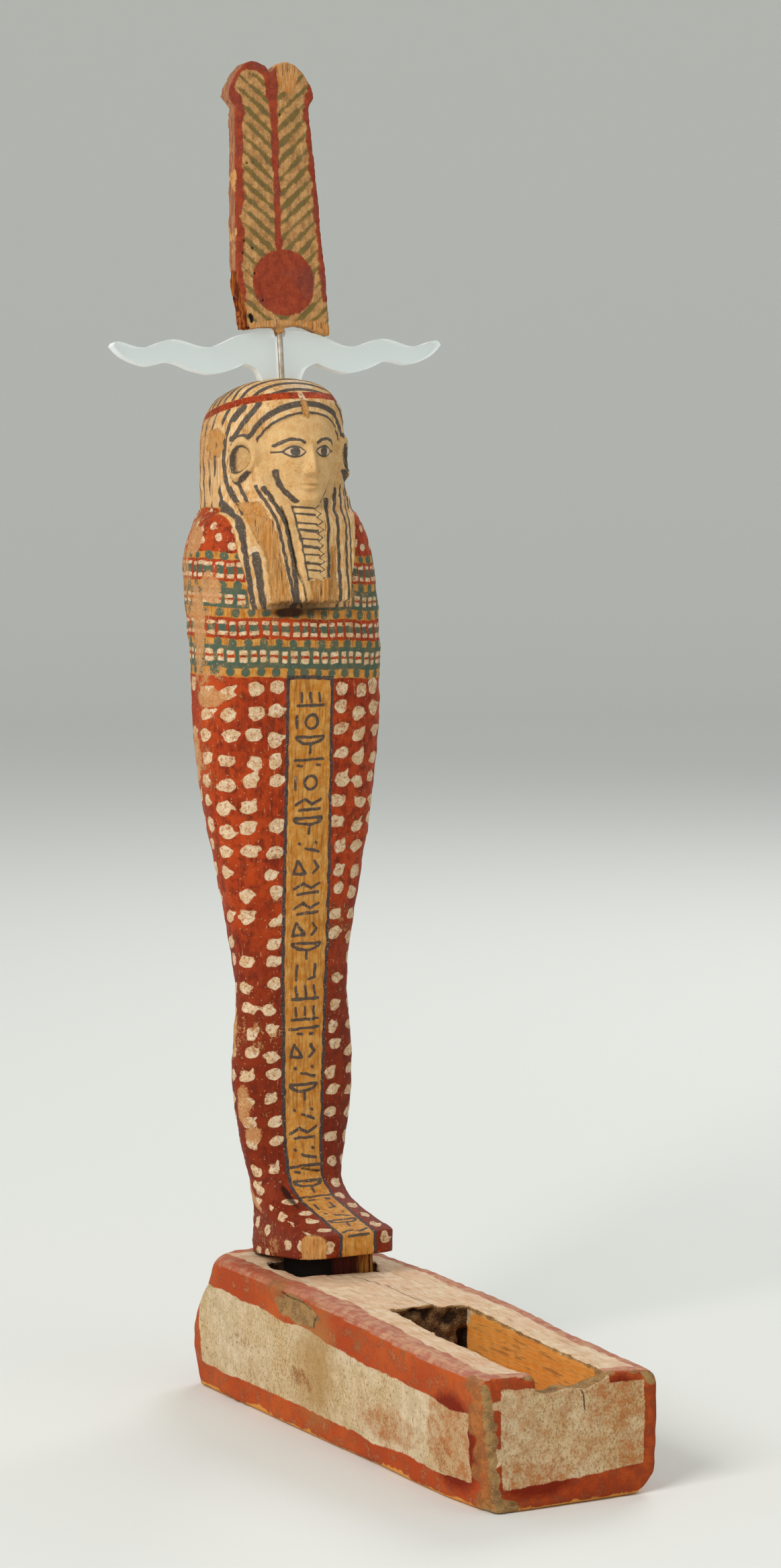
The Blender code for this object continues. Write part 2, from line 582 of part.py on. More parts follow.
def make_plume():
    columns = [-1.0, -0.93, -0.8, -0.63, -0.46, -0.3, -0.15, 0.0, 0.15, 0.3, 0.46, 0.63, 0.8, 0.93, 1.0]
    rows = [0.0, 0.04, 0.12, 0.24, 0.4, 0.56, 0.7, 0.8, 0.85, 0.875, 0.91, 0.95, 1.0]
    front_y = ROD_Y - PLUME_THICKNESS / 2 - 0.2
    points, faces = [], []

    def foot_edge(share):
        return 0.35 * math.sin(2.2 * share) - (4.7 if share > 0 else 1.4) * step_between(0.3, 1.0, abs(share))

    for side in (0, 1):
        for share in columns:
            top, low = lobe_top(share), foot_edge(share)
            for row in rows:
                up = low + (top - low) * row
                half = plume_half(max(up, 0.0)) - (0.5 if abs(share) == 1.0 and side == 0 else 0.0)
                crest = 0.7 * (1.0 - abs(share) ** 6) if side == 0 else 0.0
                y = front_y + 0.5 - crest if side == 0 else front_y + plume_back(max(up, 0.0))
                points.append((PLUME_SIDE + share * half, y, PLUME_FOOT + up))
    count, high = len(columns), len(rows)
    back = count * high
    for c in range(count - 1):
        for r in range(high - 1):
            a, b = c * high + r, (c + 1) * high + r
            faces.append((a, b, b + 1, a + 1))
            faces.append((back + b, back + a, back + a + 1, back + b + 1))
    edge = [(c * high) for c in range(count)]
    edge += [(count - 1) * high + r for r in range(1, high)]
    edge += [c * high + high - 1 for c in range(count - 2, -1, -1)]
    edge += [r for r in range(high - 2, 0, -1)]
    for i, a in enumerate(edge):
        b = edge[(i + 1) % len(edge)]
        faces.append((b, a, back + a, back + b))
    paint = material("plume_paint", (0.48, 0.36, 0.20), 0.75)
    plume = mesh_object("plume_crown", points, faces, paint, CROWN)

    side, depth = STUB_WIDTH / 2, ROD_DIAMETER / 2 + 1.2
    stub_foot = PLUME_FOOT - STUB_HEIGHT + 0.3
    low = [(-0.6 * side, ROD_Y - 0.8 * depth, stub_foot), (0.7 * side, ROD_Y - 0.8 * depth, stub_foot + 0.9),
           (0.7 * side, ROD_Y + 0.8 * depth, stub_foot + 0.6), (-0.6 * side, ROD_Y + 0.8 * depth, stub_foot)]
    high_ring = [(-side, ROD_Y - depth, PLUME_FOOT + 3.0), (side, ROD_Y - depth, PLUME_FOOT + 3.0),
                 (side, ROD_Y + depth, PLUME_FOOT + 3.0), (-side, ROD_Y + depth, PLUME_FOOT + 3.0)]
    cut(plume, mesh_object("stub", *loft([low, high_ring]), frame=CROWN), "UNION")

    foot = PLUME_FOOT_WIDTH / 2 - PLUME_SIDE
    chip = [(-foot - 3.0, PLUME_FOOT - 4.0), (-foot + 4.6, PLUME_FOOT - 4.0), (-foot + 2.6, PLUME_FOOT + 3.4),
            (-foot + 3.2, PLUME_FOOT + 7.0), (-foot + 0.9, PLUME_FOOT + 16.0), (-foot - 0.1, PLUME_FOOT + 29.0),
            (-foot - 3.0, PLUME_FOOT + 31.0)]
    chip_front = [(x, front_y - 4.0, z) for x, z in chip]
    chip_back = [(x - 1.6, front_y + PLUME_THICKNESS + 6.0, z) for x, z in chip]
    cut(plume, mesh_object("chip_cut", *loft([chip_back, chip_front]), frame=CROWN))

    sides = 12
    bore = ROD_DIAMETER / 2 + GAP
    ring = [(bore * math.cos(2 * math.pi * i / sides), ROD_Y + bore * math.sin(2 * math.pi * i / sides))
            for i in range(sides)]
    cut(plume, mesh_object("bore_cut", *prism(ring, stub_foot - 5.0, PLUME_FOOT + ROD_IN_PLUME), frame=CROWN))
    smooth_shade(plume, 40)
    return plume


def main():
    for old in list(bpy.data.objects):
        bpy.data.objects.remove(old)
    make_plinth()
    make_figure()
    make_plate()
    make_rod()
    make_plume()


main()
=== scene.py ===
"""Looks of the painted wooden statuette of Ptah-Sokar-Osiris on its long box plinth.

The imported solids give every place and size. The carving is made again here as fine meshes, and the
paint is a set of signed distances kept on the vertices, one for each colour of paint: positive
inside that colour, in millimetres. The materials lay those colours over each other in a fixed
order and wear them with noise. Distances are in millimetres until a mesh is made.
"""
import math
from functools import reduce

import bpy
import numpy as np
from mathutils import Matrix, Vector


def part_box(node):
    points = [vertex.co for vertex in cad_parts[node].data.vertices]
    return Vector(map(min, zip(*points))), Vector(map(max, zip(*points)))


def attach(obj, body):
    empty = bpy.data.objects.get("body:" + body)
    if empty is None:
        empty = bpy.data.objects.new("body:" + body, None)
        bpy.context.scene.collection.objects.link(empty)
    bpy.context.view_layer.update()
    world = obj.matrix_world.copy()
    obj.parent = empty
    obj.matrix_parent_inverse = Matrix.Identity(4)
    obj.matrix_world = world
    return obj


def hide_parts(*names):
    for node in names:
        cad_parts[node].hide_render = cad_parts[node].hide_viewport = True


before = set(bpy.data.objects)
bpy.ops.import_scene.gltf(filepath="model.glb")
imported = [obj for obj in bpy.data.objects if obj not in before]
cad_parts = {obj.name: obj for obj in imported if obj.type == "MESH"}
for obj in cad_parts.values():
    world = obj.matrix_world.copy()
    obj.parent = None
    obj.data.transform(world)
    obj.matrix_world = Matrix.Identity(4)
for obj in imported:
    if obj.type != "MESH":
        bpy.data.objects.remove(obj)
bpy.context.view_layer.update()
MM = 0.001

# Places that the solids give
PLINTH_LOW, PLINTH_HIGH = (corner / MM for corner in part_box("plinth"))
FIGURE_LOW, FIGURE_HIGH = (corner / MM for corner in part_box("figure"))
TENON_LENGTH = 30.0
TENON_WIDTH = 36.0
TENON_THICKNESS = 37.0
FOOT_LENGTH = 76.4
TOE_REACH = 73.2
FIGURE_Z = FIGURE_LOW.z + TENON_LENGTH
FIGURE_Y = FIGURE_LOW.y + TOE_REACH
CROWN_X = -1.0
CROWN_Y = FIGURE_Y - 3.1
CROWN_Z = FIGURE_HIGH.z
CROWN_LEAN = math.radians(5.3)
PLUME_FOOT = 24.8

# Head, face and chest, as in the solids
CHIN_Z = 372.0
FACE_WIDTH = 35.5
FACE_HEIGHT = 45.5
FACE_EDGE = 21.0
LEDGE_Z = 325.0
LAPPET_RELIEF = 5.0
BEARD_RELIEF = 2.0
BEARD_WIDTH = 15.0

# Stations of the carving from the soles up, as in the solids: half width, front edge (y, z), back
# edge (y, z), squareness of the front and of the back.
STATIONS = (
    (25.0, -72.4, 8.5, 4.0, 0.0, 5.0, 4.2),
    (25.6, -73.0, 18.8, 5.0, 5.5, 5.0, 4.0),
    (25.4, -62.0, 22.4, 5.0, 9.0, 3.2, 3.4),
    (24.6, -46.0, 26.8, 5.0, 14.0, 2.4, 3.0),
    (23.6, -31.0, 31.8, 5.2, 21.5, 2.1, 2.6),
    (23.6, -21.4, 40.0, 6.4, 31.0, 2.1, 2.4),
    (27.2, -19.0, 55.0, 9.6, 50.0, 2.2, 2.3),
    (29.9, -18.7, 69.0, 11.5, 68.5, 2.2, 2.3),
    (31.8, -19.2, 88.5, 13.2, 88.5, 2.2, 2.3),
    (31.0, -20.2, 109.5, 11.8, 109.5, 2.2, 2.3),
    (28.9, -21.2, 129.5, 14.3, 129.5, 2.2, 2.3),
    (30.3, -22.5, 149.5, 18.1, 149.5, 2.2, 2.3),
    (37.5, -25.2, 189.5, 21.3, 189.5, 2.2, 2.3),
    (44.5, -27.7, 229.5, 28.0, 229.5, 2.2, 2.3),
    (48.3, -30.2, 269.5, 30.5, 269.5, 2.2, 2.3),
    (48.9, -31.5, 300.0, 32.8, 300.0, 2.15, 2.3),
    (49.2, -31.0, 319.5, 37.4, 319.5, 2.1, 2.3),
    (48.5, -29.6, 339.5, 43.5, 339.5, 2.1, 2.3),
    (47.0, -29.2, 349.5, 44.8, 349.5, 2.1, 2.3),
    (43.6, -29.0, 359.5, 44.8, 359.5, 2.1, 2.3),
    (39.6, -28.6, 365.5, 45.2, 365.5, 2.1, 2.4),
    (33.9, -27.2, 371.5, 45.4, 371.5, 2.1, 2.5),
    (33.0, -26.4, 389.5, 45.8, 389.5, 2.1, 2.6),
    (32.6, -26.8, 401.5, 46.6, 401.5, 2.1, 2.6),
    (31.8, -28.2, 411.5, 45.0, 411.5, 2.1, 2.6),
    (30.0, -29.0, 418.5, 41.0, 418.5, 2.1, 2.5),
    (26.8, -26.8, 424.0, 37.0, 424.0, 2.1, 2.4),
    (22.6, -21.5, 429.0, 26.5, 429.0, 2.1, 2.2),
    (15.0, -14.5, 432.6, 14.0, 432.6, 2.0, 2.0),
    (5.0, -8.0, 434.5, 2.0, 434.5, 2.0, 2.0),
)
SEAM = 16.15
TOP_STATION = len(STATIONS) - 1.0
# Distance between the rows of the fine meshes, in millimetres
BODY_SPACING, HEAD_SPACING = 0.90, 0.50
# Signed distance kept where a paint is nowhere near, in millimetres
AWAY = -6.0


# Shaping helpers

def smooth(low, high, value):
    """0 below low, 1 above high, and a smooth step between them."""
    t = np.clip((value - low) / (high - low), 0.0, 1.0)
    return t * t * (3.0 - 2.0 * t)


def bump(value, centre, half):
    """1 at the centre, fading smoothly to 0 at half the width away."""
    return 1.0 - smooth(0.0, half, np.abs(value - centre))


def through(keys, value):
    """A smooth value through (place, value) keys that never overshoots them."""
    places = np.array([k[0] for k in keys], float)
    heights = np.array([k[1] for k in keys], float)
    span = np.diff(places)
    rise = np.diff(heights) / span
    slope = np.empty(len(keys))
    slope[0], slope[-1] = rise[0], rise[-1]
    before, after = rise[:-1], rise[1:]
    both = before * after > 0
    total = np.where(both, before + after, 1.0)
    slope[1:-1] = np.where(both, 2.0 * before * after / total, 0.0)
    value = np.clip(value, places[0], places[-1])
    i = np.clip(np.searchsorted(places, value, side="right") - 1, 0, len(span) - 1)
    t = (value - places[i]) / span[i]
    return ((2 * t**3 - 3 * t**2 + 1) * heights[i] + (t**3 - 2 * t**2 + t) * span[i] * slope[i]
            + (3 * t**2 - 2 * t**3) * heights[i + 1] + (t**3 - t**2) * span[i] * slope[i + 1])


def rough(points, size, seed, stretch=(1.0, 1.0, 1.0), waves=14):
    """Smooth pseudo-random values of about -1 to 1, with features of a size in millimetres."""
    rng = np.random.default_rng(seed)
    ways = rng.normal(size=(waves, 3))
    ways /= np.linalg.norm(ways, axis=1, keepdims=True)
    ways *= rng.uniform(0.6, 1.5, (waves, 1)) * 2 * math.pi / (2.0 * size)
    phases = rng.uniform(0, 2 * math.pi, waves)
    total = np.zeros(points.shape[:-1])
    scaled = points / np.array(stretch)
    for way, phase in zip(ways, phases):
        total += np.sin(scaled @ way + phase)
    return total / math.sqrt(waves)


def chance(i, j, seed):
    """A repeatable value from 0 to 1 for each pair of whole numbers."""
    value = np.sin(i * 127.1 + j * 311.7 + seed * 74.7) * 43758.5453
    return value - np.floor(value)


def to_lines(x, y, lines):
    """Distance from each point to the nearest of some lines, each a list of points."""
    nearest = np.full(np.shape(x), 99.0)
    for line in lines:
        for (ax, ay), (bx, by) in zip(line, line[1:]):
            dx, dy = bx - ax, by - ay
            length = dx * dx + dy * dy + 1e-9
            t = np.clip(((x - ax) * dx + (y - ay) * dy) / length, 0.0, 1.0)
            nearest = np.minimum(nearest, np.hypot(x - ax - t * dx, y - ay - t * dy))
    return nearest


def blob(x, y, centre, half):
    """Signed distance of about a millimetre scale inside an ellipse."""
    cx, cy = centre
    reach = np.hypot((x - cx) / half[0], (y - cy) / half[1])
    return (1.0 - reach) * min(half)


def only(where, depth):
    """A signed distance where a condition holds, and far outside the shape elsewhere."""
    return np.where(where, depth, AWAY)


def union(*depths):
    """Signed distance inside any of some shapes."""
    return reduce(np.maximum, depths)


def overlap(*depths):
    """Signed distance inside all of some shapes."""
    return reduce(np.minimum, depths)


def grid_faces(rows, columns):
    """Quads of a grid of rows by columns, closed round the columns, seen from outside."""
    r, c = np.meshgrid(np.arange(rows - 1), np.arange(columns), indexing="ij")
    d = (c + 1) % columns
    return np.stack([r * columns + c, r * columns + d, (r + 1) * columns + d, (r + 1) * columns + c],
                    axis=-1).reshape(-1, 4)


def mesh_from(name, points, faces, mats):
    """A smooth-shaded object from points in millimetres."""
    mesh = bpy.data.meshes.new(name)
    mesh.from_pydata((np.asarray(points) * MM).tolist(), [], [tuple(f) for f in faces])
    mesh.validate()
    mesh.shade_smooth()
    for mat in mats:
        mesh.materials.append(mat)
    return linked(bpy.data.objects.new(name, mesh))


def linked(obj):
    """The object, put into the scene."""
    bpy.context.scene.collection.objects.link(obj)
    return obj


def keep_fields(obj, **fields):
    """Store the paint's distances on the vertices."""
    for name, values in fields.items():
        data = obj.data.attributes.new(name, "FLOAT", "POINT")
        values = np.asarray(values, np.float32).ravel()
        data.data.foreach_set("value", np.clip(values, AWAY, -AWAY))


# Materials

def rgb(code):
    """A linear colour from its usual six-digit code."""
    parts = [int(code[i:i + 2], 16) / 255 for i in (0, 2, 4)]
    return tuple(c / 12.92 if c <= 0.04045 else ((c + 0.055) / 1.055) ** 2.4 for c in parts) + (1.0,)


class Paint:
    """A small builder of node materials. Colours may be given as six-digit codes."""

    def __init__(self, name):
        self.material = bpy.data.materials.new(name)
        self.material.use_nodes = True
        self.tree = self.material.node_tree
        self.shader = self.tree.nodes["Principled BSDF"]
        self.place = self.node("ShaderNodeTexCoord").outputs["Object"]

    def node(self, kind, inputs=None, **settings):
        """A new node with its inputs linked or set, and its other settings."""
        made = self.tree.nodes.new(kind)
        for name, value in settings.items():
            setattr(made, name, value)
        for name, value in (inputs or {}).items():
            self.put(made.inputs[name], value)
        return made

    def put(self, socket, value):
        if isinstance(value, bpy.types.NodeSocket):
            self.tree.links.new(value, socket)
        else:
            socket.default_value = rgb(value) if isinstance(value, str) else value

    def math(self, operation, *values, clamp=False):
        inputs = dict(enumerate(values))
        return self.node("ShaderNodeMath", inputs, operation=operation, use_clamp=clamp).outputs[0]

    def scaled(self, value, factor, offset=0.0, clamp=False):
        return self.math("MULTIPLY_ADD", value, factor, offset, clamp=clamp)

    def mix(self, factor, first, second):
        inputs = {0: factor, 6: first, 7: second}
        return self.node("ShaderNodeMix", inputs, data_type="RGBA").outputs[2]

    def texture(self, kind, size, stretch, shift, **inputs):
        """A texture with features of a size in millimetres, placed on the object."""
        scale = self.node("ShaderNodeMapping", {
            "Vector": self.place, "Location": (shift, shift * 0.7, shift * 1.3),
            "Scale": tuple(1.0 / (size * MM * s) for s in stretch)})
        return self.node(kind, {"Vector": scale.outputs["Vector"], "Scale": 1.0, **inputs})

    def noise(self, size, detail=3.0, roughness=0.55, stretch=(1.0, 1.0, 1.0), shift=0.0):
        """Noise of 0 to 1 with features of a size in millimetres."""
        kind = "ShaderNodeTexNoise"
        return self.texture(kind, size, stretch, shift, Detail=detail, Roughness=roughness).outputs[0]

    def usual_noise(self, fine, middle, large, grain, stretch, grain_roughness=0.6):
        """The four noises of a painted wood from their sizes, and the mean of fine and middle."""
        fine = self.noise(fine, 5.0, 0.65)
        middle = self.noise(middle, 4.0, 0.6, shift=3.0)
        large = self.noise(large, 3.0, 0.5, shift=7.0)
        grain = self.noise(grain, 4.0, grain_roughness, stretch=stretch, shift=11.0)
        return fine, middle, large, grain, self.scaled(self.math("ADD", fine, middle), 0.5)

    def field(self, name):
        return self.node("ShaderNodeAttribute", attribute_name=name).outputs["Fac"]

    def inside(self, name, wobble, amount, edge=0.35):
        """1 inside a painted shape, with its edge moved by noise in millimetres."""
        moved = self.math("MULTIPLY_ADD", self.scaled(wobble, 1.0, -0.5), amount * 2.0, self.field(name))
        return self.scaled(moved, 1.0 / edge, 0.5, clamp=True)

    def above(self, value, level, sharp):
        """1 where a value is over a level, with a soft step."""
        return self.scaled(value, sharp, 0.5 - level * sharp, clamp=True)

    def over(self, colour, mask, paint, share=1.0):
        """A paint over a colour where a mask is 1, hiding no more than a share of it."""
        return self.mix(mask if share == 1.0 else self.scaled(mask, share), colour, paint)

    def mottled(self, colour, *layers):
        """A colour under layers of (noise, level, sharpness, paint, share if not 1)."""
        for noise, level, sharp, paint, *share in layers:
            colour = self.over(colour, self.above(noise, level, sharp), paint, *share)
        return colour

    def coated(self, colour, *coats):
        """A colour under coats of (field, wobble, its millimetres, edge, paint, share if not 1)."""
        for name, wobble, amount, edge, paint, *share in coats:
            colour = self.over(colour, self.inside(name, wobble, amount, edge), paint, *share)
        return colour

    def finish(self, colour, roughness, height, depth, strength=1.0):
        """Colour, roughness and a bump from a height of 0 to 1 that is depth millimetres deep."""
        made = self.node("ShaderNodeBump", {"Strength": strength, "Distance": depth * MM, "Height": height})
        self.set("Specular IOR Level", SPECULAR)
        self.set("Base Color", colour)
        self.set("Roughness", roughness)
        self.set("Normal", made.outputs["Normal"])
        return self.material

    def set(self, name, value):
        """A value or a link on the shader's own socket."""
        self.put(self.shader.inputs[name], value)


# Gloss of all the paints, the usual width of a painted edge, and the stretch of upright grain
SPECULAR = 0.14
EDGE = 0.35
ALONG_Z = (1.0, 1.0, 14.0)
RED, RED_DARK, RED_BRIGHT = "9a3010", "5e1e0e", "b84416"
OCHRE, OCHRE_DARK, OCHRE_PALE = "c27c2c", "8e4f18", "d49e52"
HAIR, HAIR_PALE = "d8a464", "eac898"
CREAM, CREAM_WARM = "e4cfae", "cfa678"
GREEN, GREEN_GREY = "465c4e", "5c644c"
BLACK, BLACK_GREY = "2a2829", "504c4a"
SKIN, SKIN_WARM = "deb780", "cc9a5e"
WOOD, WOOD_DARK, WOOD_PALE = "bd7c38", "6b3816", "d6a468"


def figure_material():
    """The figure's paint: ochre, then skin, red, green, cream and black, then bare wood."""
    p = Paint("figure_paint")
    fine, middle, large, grain, both = p.usual_noise(0.9, 4.2, 20.0, 1.3, ALONG_Z, 0.65)
    ochre = p.mottled(OCHRE, (middle, 0.52, 3.5, OCHRE_PALE), (grain, 0.57, 6.0, OCHRE_DARK, 0.7))
    hair = p.mottled(HAIR, (middle, 0.52, 3.5, HAIR_PALE), (grain, 0.57, 6.0, OCHRE_DARK, 0.6))
    skin = p.mottled(SKIN, (both, 0.52, 5.0, SKIN_WARM))
    red = p.mottled(RED, (large, 0.50, 3.5, RED_BRIGHT), (middle, 0.53, 5.0, RED_DARK, 0.75),
                    (grain, 0.56, 7.0, RED_BRIGHT, 0.55))
    # The red is darker towards the bottom.
    red = p.over(red, p.field("age"), RED_DARK, 0.62)
    green = p.mottled(GREEN, (middle, 0.50, 5.0, GREEN_GREY), (fine, 0.60, 9.0, OCHRE_DARK, 0.5))
    cream = p.mottled(CREAM, (both, 0.50, 6.0, CREAM_WARM), (fine, 0.62, 10.0, "b06a48", 0.65))
    black = p.mottled(BLACK, (fine, 0.48, 5.0, BLACK_GREY))
    colour = p.coated(ochre, ("wig", both, 0.3, EDGE, hair), ("skin", both, 0.4, EDGE, skin),
                      ("red", both, 0.9, EDGE, red), ("green", both, 1.0, EDGE, green))
    flaked = p.above(p.noise(1.9, 4.0, 0.65, shift=51.0), 0.57, 12.0)
    whole = p.math("MULTIPLY", p.inside("cream", both, 1.3), p.scaled(flaked, -0.6, 1.0))
    colour = p.mix(whole, colour, cream)
    colour = p.coated(colour, ("black", both, 0.6, EDGE, black, 0.92))

    wear = p.math("ADD", both, p.scaled(p.field("wear"), 0.22))
    scuffed = p.mottled("d0a070", (fine, 0.5, 4.0, "b9783f"))
    specks = p.texture("ShaderNodeTexVoronoi", 2.6, (1.0, 1.0, 1.0), 5.0).outputs["Distance"]
    scratches = p.noise(1.1, 2.0, 0.5, stretch=(1.0, 1.0, 5.0), shift=41.0)
    colour = p.mottled(colour, (wear, 0.72, 14.0, scuffed, 0.85),
                       (p.math("MULTIPLY", specks, -1.0), -0.12, 30.0, CREAM_WARM, 0.6),
                       (scratches, 0.71, 22.0, "d8b48a", 0.45))

    wood = p.mottled(WOOD, (grain, 0.5, 5.0, WOOD_PALE), (grain, 0.60, 9.0, WOOD_DARK, 0.85))
    bare = p.inside("bare", both, 2.2, edge=0.6)
    # Then dark cracks and grime with a painted shadow under the ledge, then painted shade under the ledge,
    # at the soles and in the ears.
    colour = p.coated(p.mix(bare, colour, wood), ("dirt", both, 0.6, 0.9, "24150d", 0.9),
                      ("shade", both, 1.5, 4.0, "3a1f10", 0.75))
    height = p.math("ADD", p.scaled(fine, 0.5), p.scaled(middle, 0.5))
    ridges = p.math("MULTIPLY", p.scaled(grain, 1.8), p.scaled(bare, 0.85, 0.18))
    return p.finish(colour, p.scaled(fine, 0.3, 0.45), p.math("ADD", height, ridges), 0.6, 0.8)


def plinth_material():
    """The plinth's whitewash, its red borders and the bare wood of its breaks and cavity."""
    p = Paint("plinth_paint")
    fine, middle, large, grain, both = p.usual_noise(1.0, 6.0, 36.0, 1.5, (1.0, 16.0, 1.0))
    crumbs = p.noise(1.0, 4.0, 0.7, stretch=(1.0, 1.0, 1.5), shift=21.0)
    crumbs = p.math("ADD", crumbs, p.scaled(large, 0.25, -0.125))
    flecks = p.noise(1.7, 3.0, 0.7, stretch=(1.0, 1.0, 2.0), shift=27.0)
    streak = p.noise(1.1, 3.0, 0.6, stretch=(1.0, 20.0, 1.0), shift=31.0)
    wash = p.mottled("dcc6a4", (middle, 0.5, 4.0, "c9b08a"), (large, 0.50, 4.0, "cda871", 0.55),
                     (crumbs, 0.57, 12.0, "8a6630", 0.7), (flecks, 0.63, 14.0, "7f5a2c", 0.6))
    # Old stains, and over the whole front a painted shade that darkens and yellows the whitewash.
    old_dirt = p.inside("rust", both, 5.0, edge=6.0)
    wash = p.over(wash, old_dirt, "b08050", 0.45)
    wash = p.over(wash, p.math("MULTIPLY", p.above(both, 0.51, 10.0), old_dirt), "b0622a", 0.75)
    top = p.mottled("ead3b4", (middle, 0.5, 3.0, "dcb790"), (large, 0.54, 5.0, "d69c7c", 0.4),
                    (streak, 0.58, 9.0, "ac7c50", 0.5))
    rose = p.mottled("b5705a", (middle, 0.5, 5.0, "cb9878"), (streak, 0.56, 9.0, "a05a46", 0.5))
    red = p.mottled("b0451a", (large, 0.5, 4.0, "bf5823"), (middle, 0.54, 6.0, "8c3a22", 0.6),
                    (both, 0.58, 12.0, "c58a58", 0.55), (fine, 0.64, 12.0, "6d3a24", 0.5))
    # The red darkens under the stains and under the front's painted shade.
    red = p.mix(p.scaled(old_dirt, 1.1, clamp=True), red, "7a2004")
    red = p.coated(red, ("rose", both, 2.5, 4.0, rose))
    wood = p.mottled("dc8d38", (grain, 0.5, 4.0, "e8a656"), (grain, 0.59, 9.0, "87501f", 0.6))
    worn = p.mottled("a8814f", (both, 0.5, 8.0, "7c5a36"), (fine, 0.60, 12.0, "c9b08a", 0.6))
    rubbed = p.mottled("b4763c", (both, 0.5, 8.0, "8d5a34"))
    old = p.mottled("80603c", (both, 0.50, 9.0, "3c2517"), (fine, 0.62, 12.0, "b08a5c", 0.6))
    broken = p.inside("broken", both, 1.2, edge=0.6)
    colour = p.coated(
        wash, ("top", both, 0.8, 1.5, top), ("red", both, 1.0, 0.6, red),
        ("stain", both, 5.0, 8.0, "ab7f45", 0.62), ("bare", both, 2.0, 0.8, wood),
        ("worn", both, 1.6, 0.6, worn), ("rubbed", both, 4.0, 1.2, rubbed, 0.8))
    # Dark old wood in the socket and on the cavity's end wall, then near-black splits, rot and painted
    # shade deep in the socket.
    colour = p.coated(p.mix(broken, colour, old), ("dirt", fine, 0.4, 0.8, "1d120c", 0.9))
    across = p.math("ADD", p.field("crack"), p.scaled(both, 1.6, -0.8))
    line = p.math("MULTIPLY", p.math("ABSOLUTE", across), -1.0)
    crack = p.math("MULTIPLY", p.above(line, -0.28, 6.0), p.inside("cracked", both, 0.3))
    colour = p.over(colour, crack, "3a2212", 0.85)

    height = p.math("ADD", p.scaled(fine, 0.5), p.scaled(middle, 0.6))
    height = p.math("ADD", height, p.math("MULTIPLY", grain, p.scaled(broken, 1.8, 0.4)))
    return p.finish(colour, p.scaled(fine, 0.25, 0.6), p.math("SUBTRACT", height, crack), 0.8, 0.9)


def plume_material():
    """The feathers' ochre ground with red lines, the red disc and olive barbs."""
    p = Paint("plume_paint")
    fine, middle, large, grain, both = p.usual_noise(0.9, 3.6, 18.0, 1.2, ALONG_Z)
    ground = p.mottled("c8955c", (middle, 0.5, 4.0, "a47546"), (grain, 0.56, 7.0, "cda470", 0.5),
                       (fine, 0.60, 10.0, "80582c", 0.55))
    olive = p.mottled("6e5c2a", (middle, 0.5, 5.0, "665c38"))
    red = p.mottled("a5462a", (both, 0.5, 6.0, "873220"), (large, 0.58, 6.0, "5d3c3a", 0.45),
                    (fine, 0.61, 12.0, "b57850", 0.45))
    side = p.mottled("b07a54", (grain, 0.5, 5.0, "8c5740"))
    wood = p.mottled("c07c3c", (grain, 0.5, 6.0, "d8ac74"), (grain, 0.58, 9.0, "743616", 0.85))
    torn = p.mottled("a4561f", (grain, 0.5, 8.0, "571f0b"))
    colour = p.coated(
        ground, ("green", both, 1.8, 0.9, olive, 0.85), ("red", both, 1.5, 0.7, red),
        ("side", both, 0.6, 0.5, side), ("bare", both, 2.0, 0.8, wood),
        ("torn", both, 1.2, 0.8, torn), ("dirt", fine, 0.3, 0.4, "140c08"))
    height = p.math("ADD", p.scaled(fine, 0.6), p.scaled(middle, 0.7))
    height = p.math("ADD", height, p.scaled(grain, 0.6))
    return p.finish(colour, p.scaled(fine, 0.25, 0.6), height, 0.6, 0.85)


def tenon_material():
    """Dark wood, split and paler at the figure's left, grimy at its right."""
    p = Paint("tenon_wood")
    grain = p.noise(1.3, 4.0, 0.6, stretch=(1.0, 1.0, 12.0))
    splinters = p.mottled("b5752e", (grain, 0.52, 9.0, "4a2410"))
    colour = p.coated(p.mottled("5a2012", (grain, 0.5, 4.0, "34150c")),
                      ("split", grain, 6.0, 3.0, splinters), ("dirt", grain, 3.0, 3.0, "120a07"))
    return p.finish(colour, 0.7, grain, 1.2)


def sheet_material(name, colour, alpha):
    """Frosted clear sheet: plain values with a faint bump."""
    p = Paint(name)
    mist = p.noise(9.0, 3.0, 0.6)
    p.finish(colour, p.scaled(mist, 0.12, 0.3), p.noise(0.6), 0.05, 0.4)
    p.set("Alpha", alpha)
    p.set("IOR", 1.49)
    return p.material


def rod_material():
    p = Paint("rod_metal")
    lines = p.noise(0.5, 3.0, 0.6, stretch=(1.0, 1.0, 12.0))
    colour = p.mottled("d3cdc0", (p.noise(5.0), 0.5, 3.0, "a58d74"))
    p.finish(colour, p.scaled(lines, 0.2, 0.35), lines, 0.08)
    p.set("Metallic", 0.35)
    return p.material


# Figure

def lappet_half(z):
    """Half width of the two wig ends that hang over the chest."""
    return through(((LEDGE_Z, 22.5), (340.0, 25.5), (352.0, 29.0), (362.0, 32.5), (375.0, 40.0)), z)


def chest_relief(x, z):
    """How far the wig ends and the beard stand out from the chest."""
    side = 1.0 - smooth(-1.8, 0.8, np.abs(x) - lappet_half(z))
    ragged = 0.5 * np.sin(0.55 * x) + 0.35 * np.sin(1.7 * x + 1.0)
    height = smooth(LEDGE_Z - 0.7, LEDGE_Z + 1.0, z + ragged) * (1.0 - smooth(366.0, 384.0, z))
    beard = 1.0 - smooth(BEARD_WIDTH / 2 - 0.8, BEARD_WIDTH / 2 + 0.8, np.abs(x - 1.0))
    beard = beard * (1.0 - smooth(CHIN_Z + 3.0, CHIN_Z + 8.0, z))
    return height * (LAPPET_RELIEF * side + BEARD_RELIEF * beard)


def face_half(v):
    """Half width of the face at a share of its height."""
    return FACE_WIDTH / 2 * through(((-0.06, 0.30), (0.0, 0.42), (0.12, 0.68), (0.3, 0.88),
                                     (0.55, 1.0), (0.85, 1.0), (1.0, 0.96)), v)


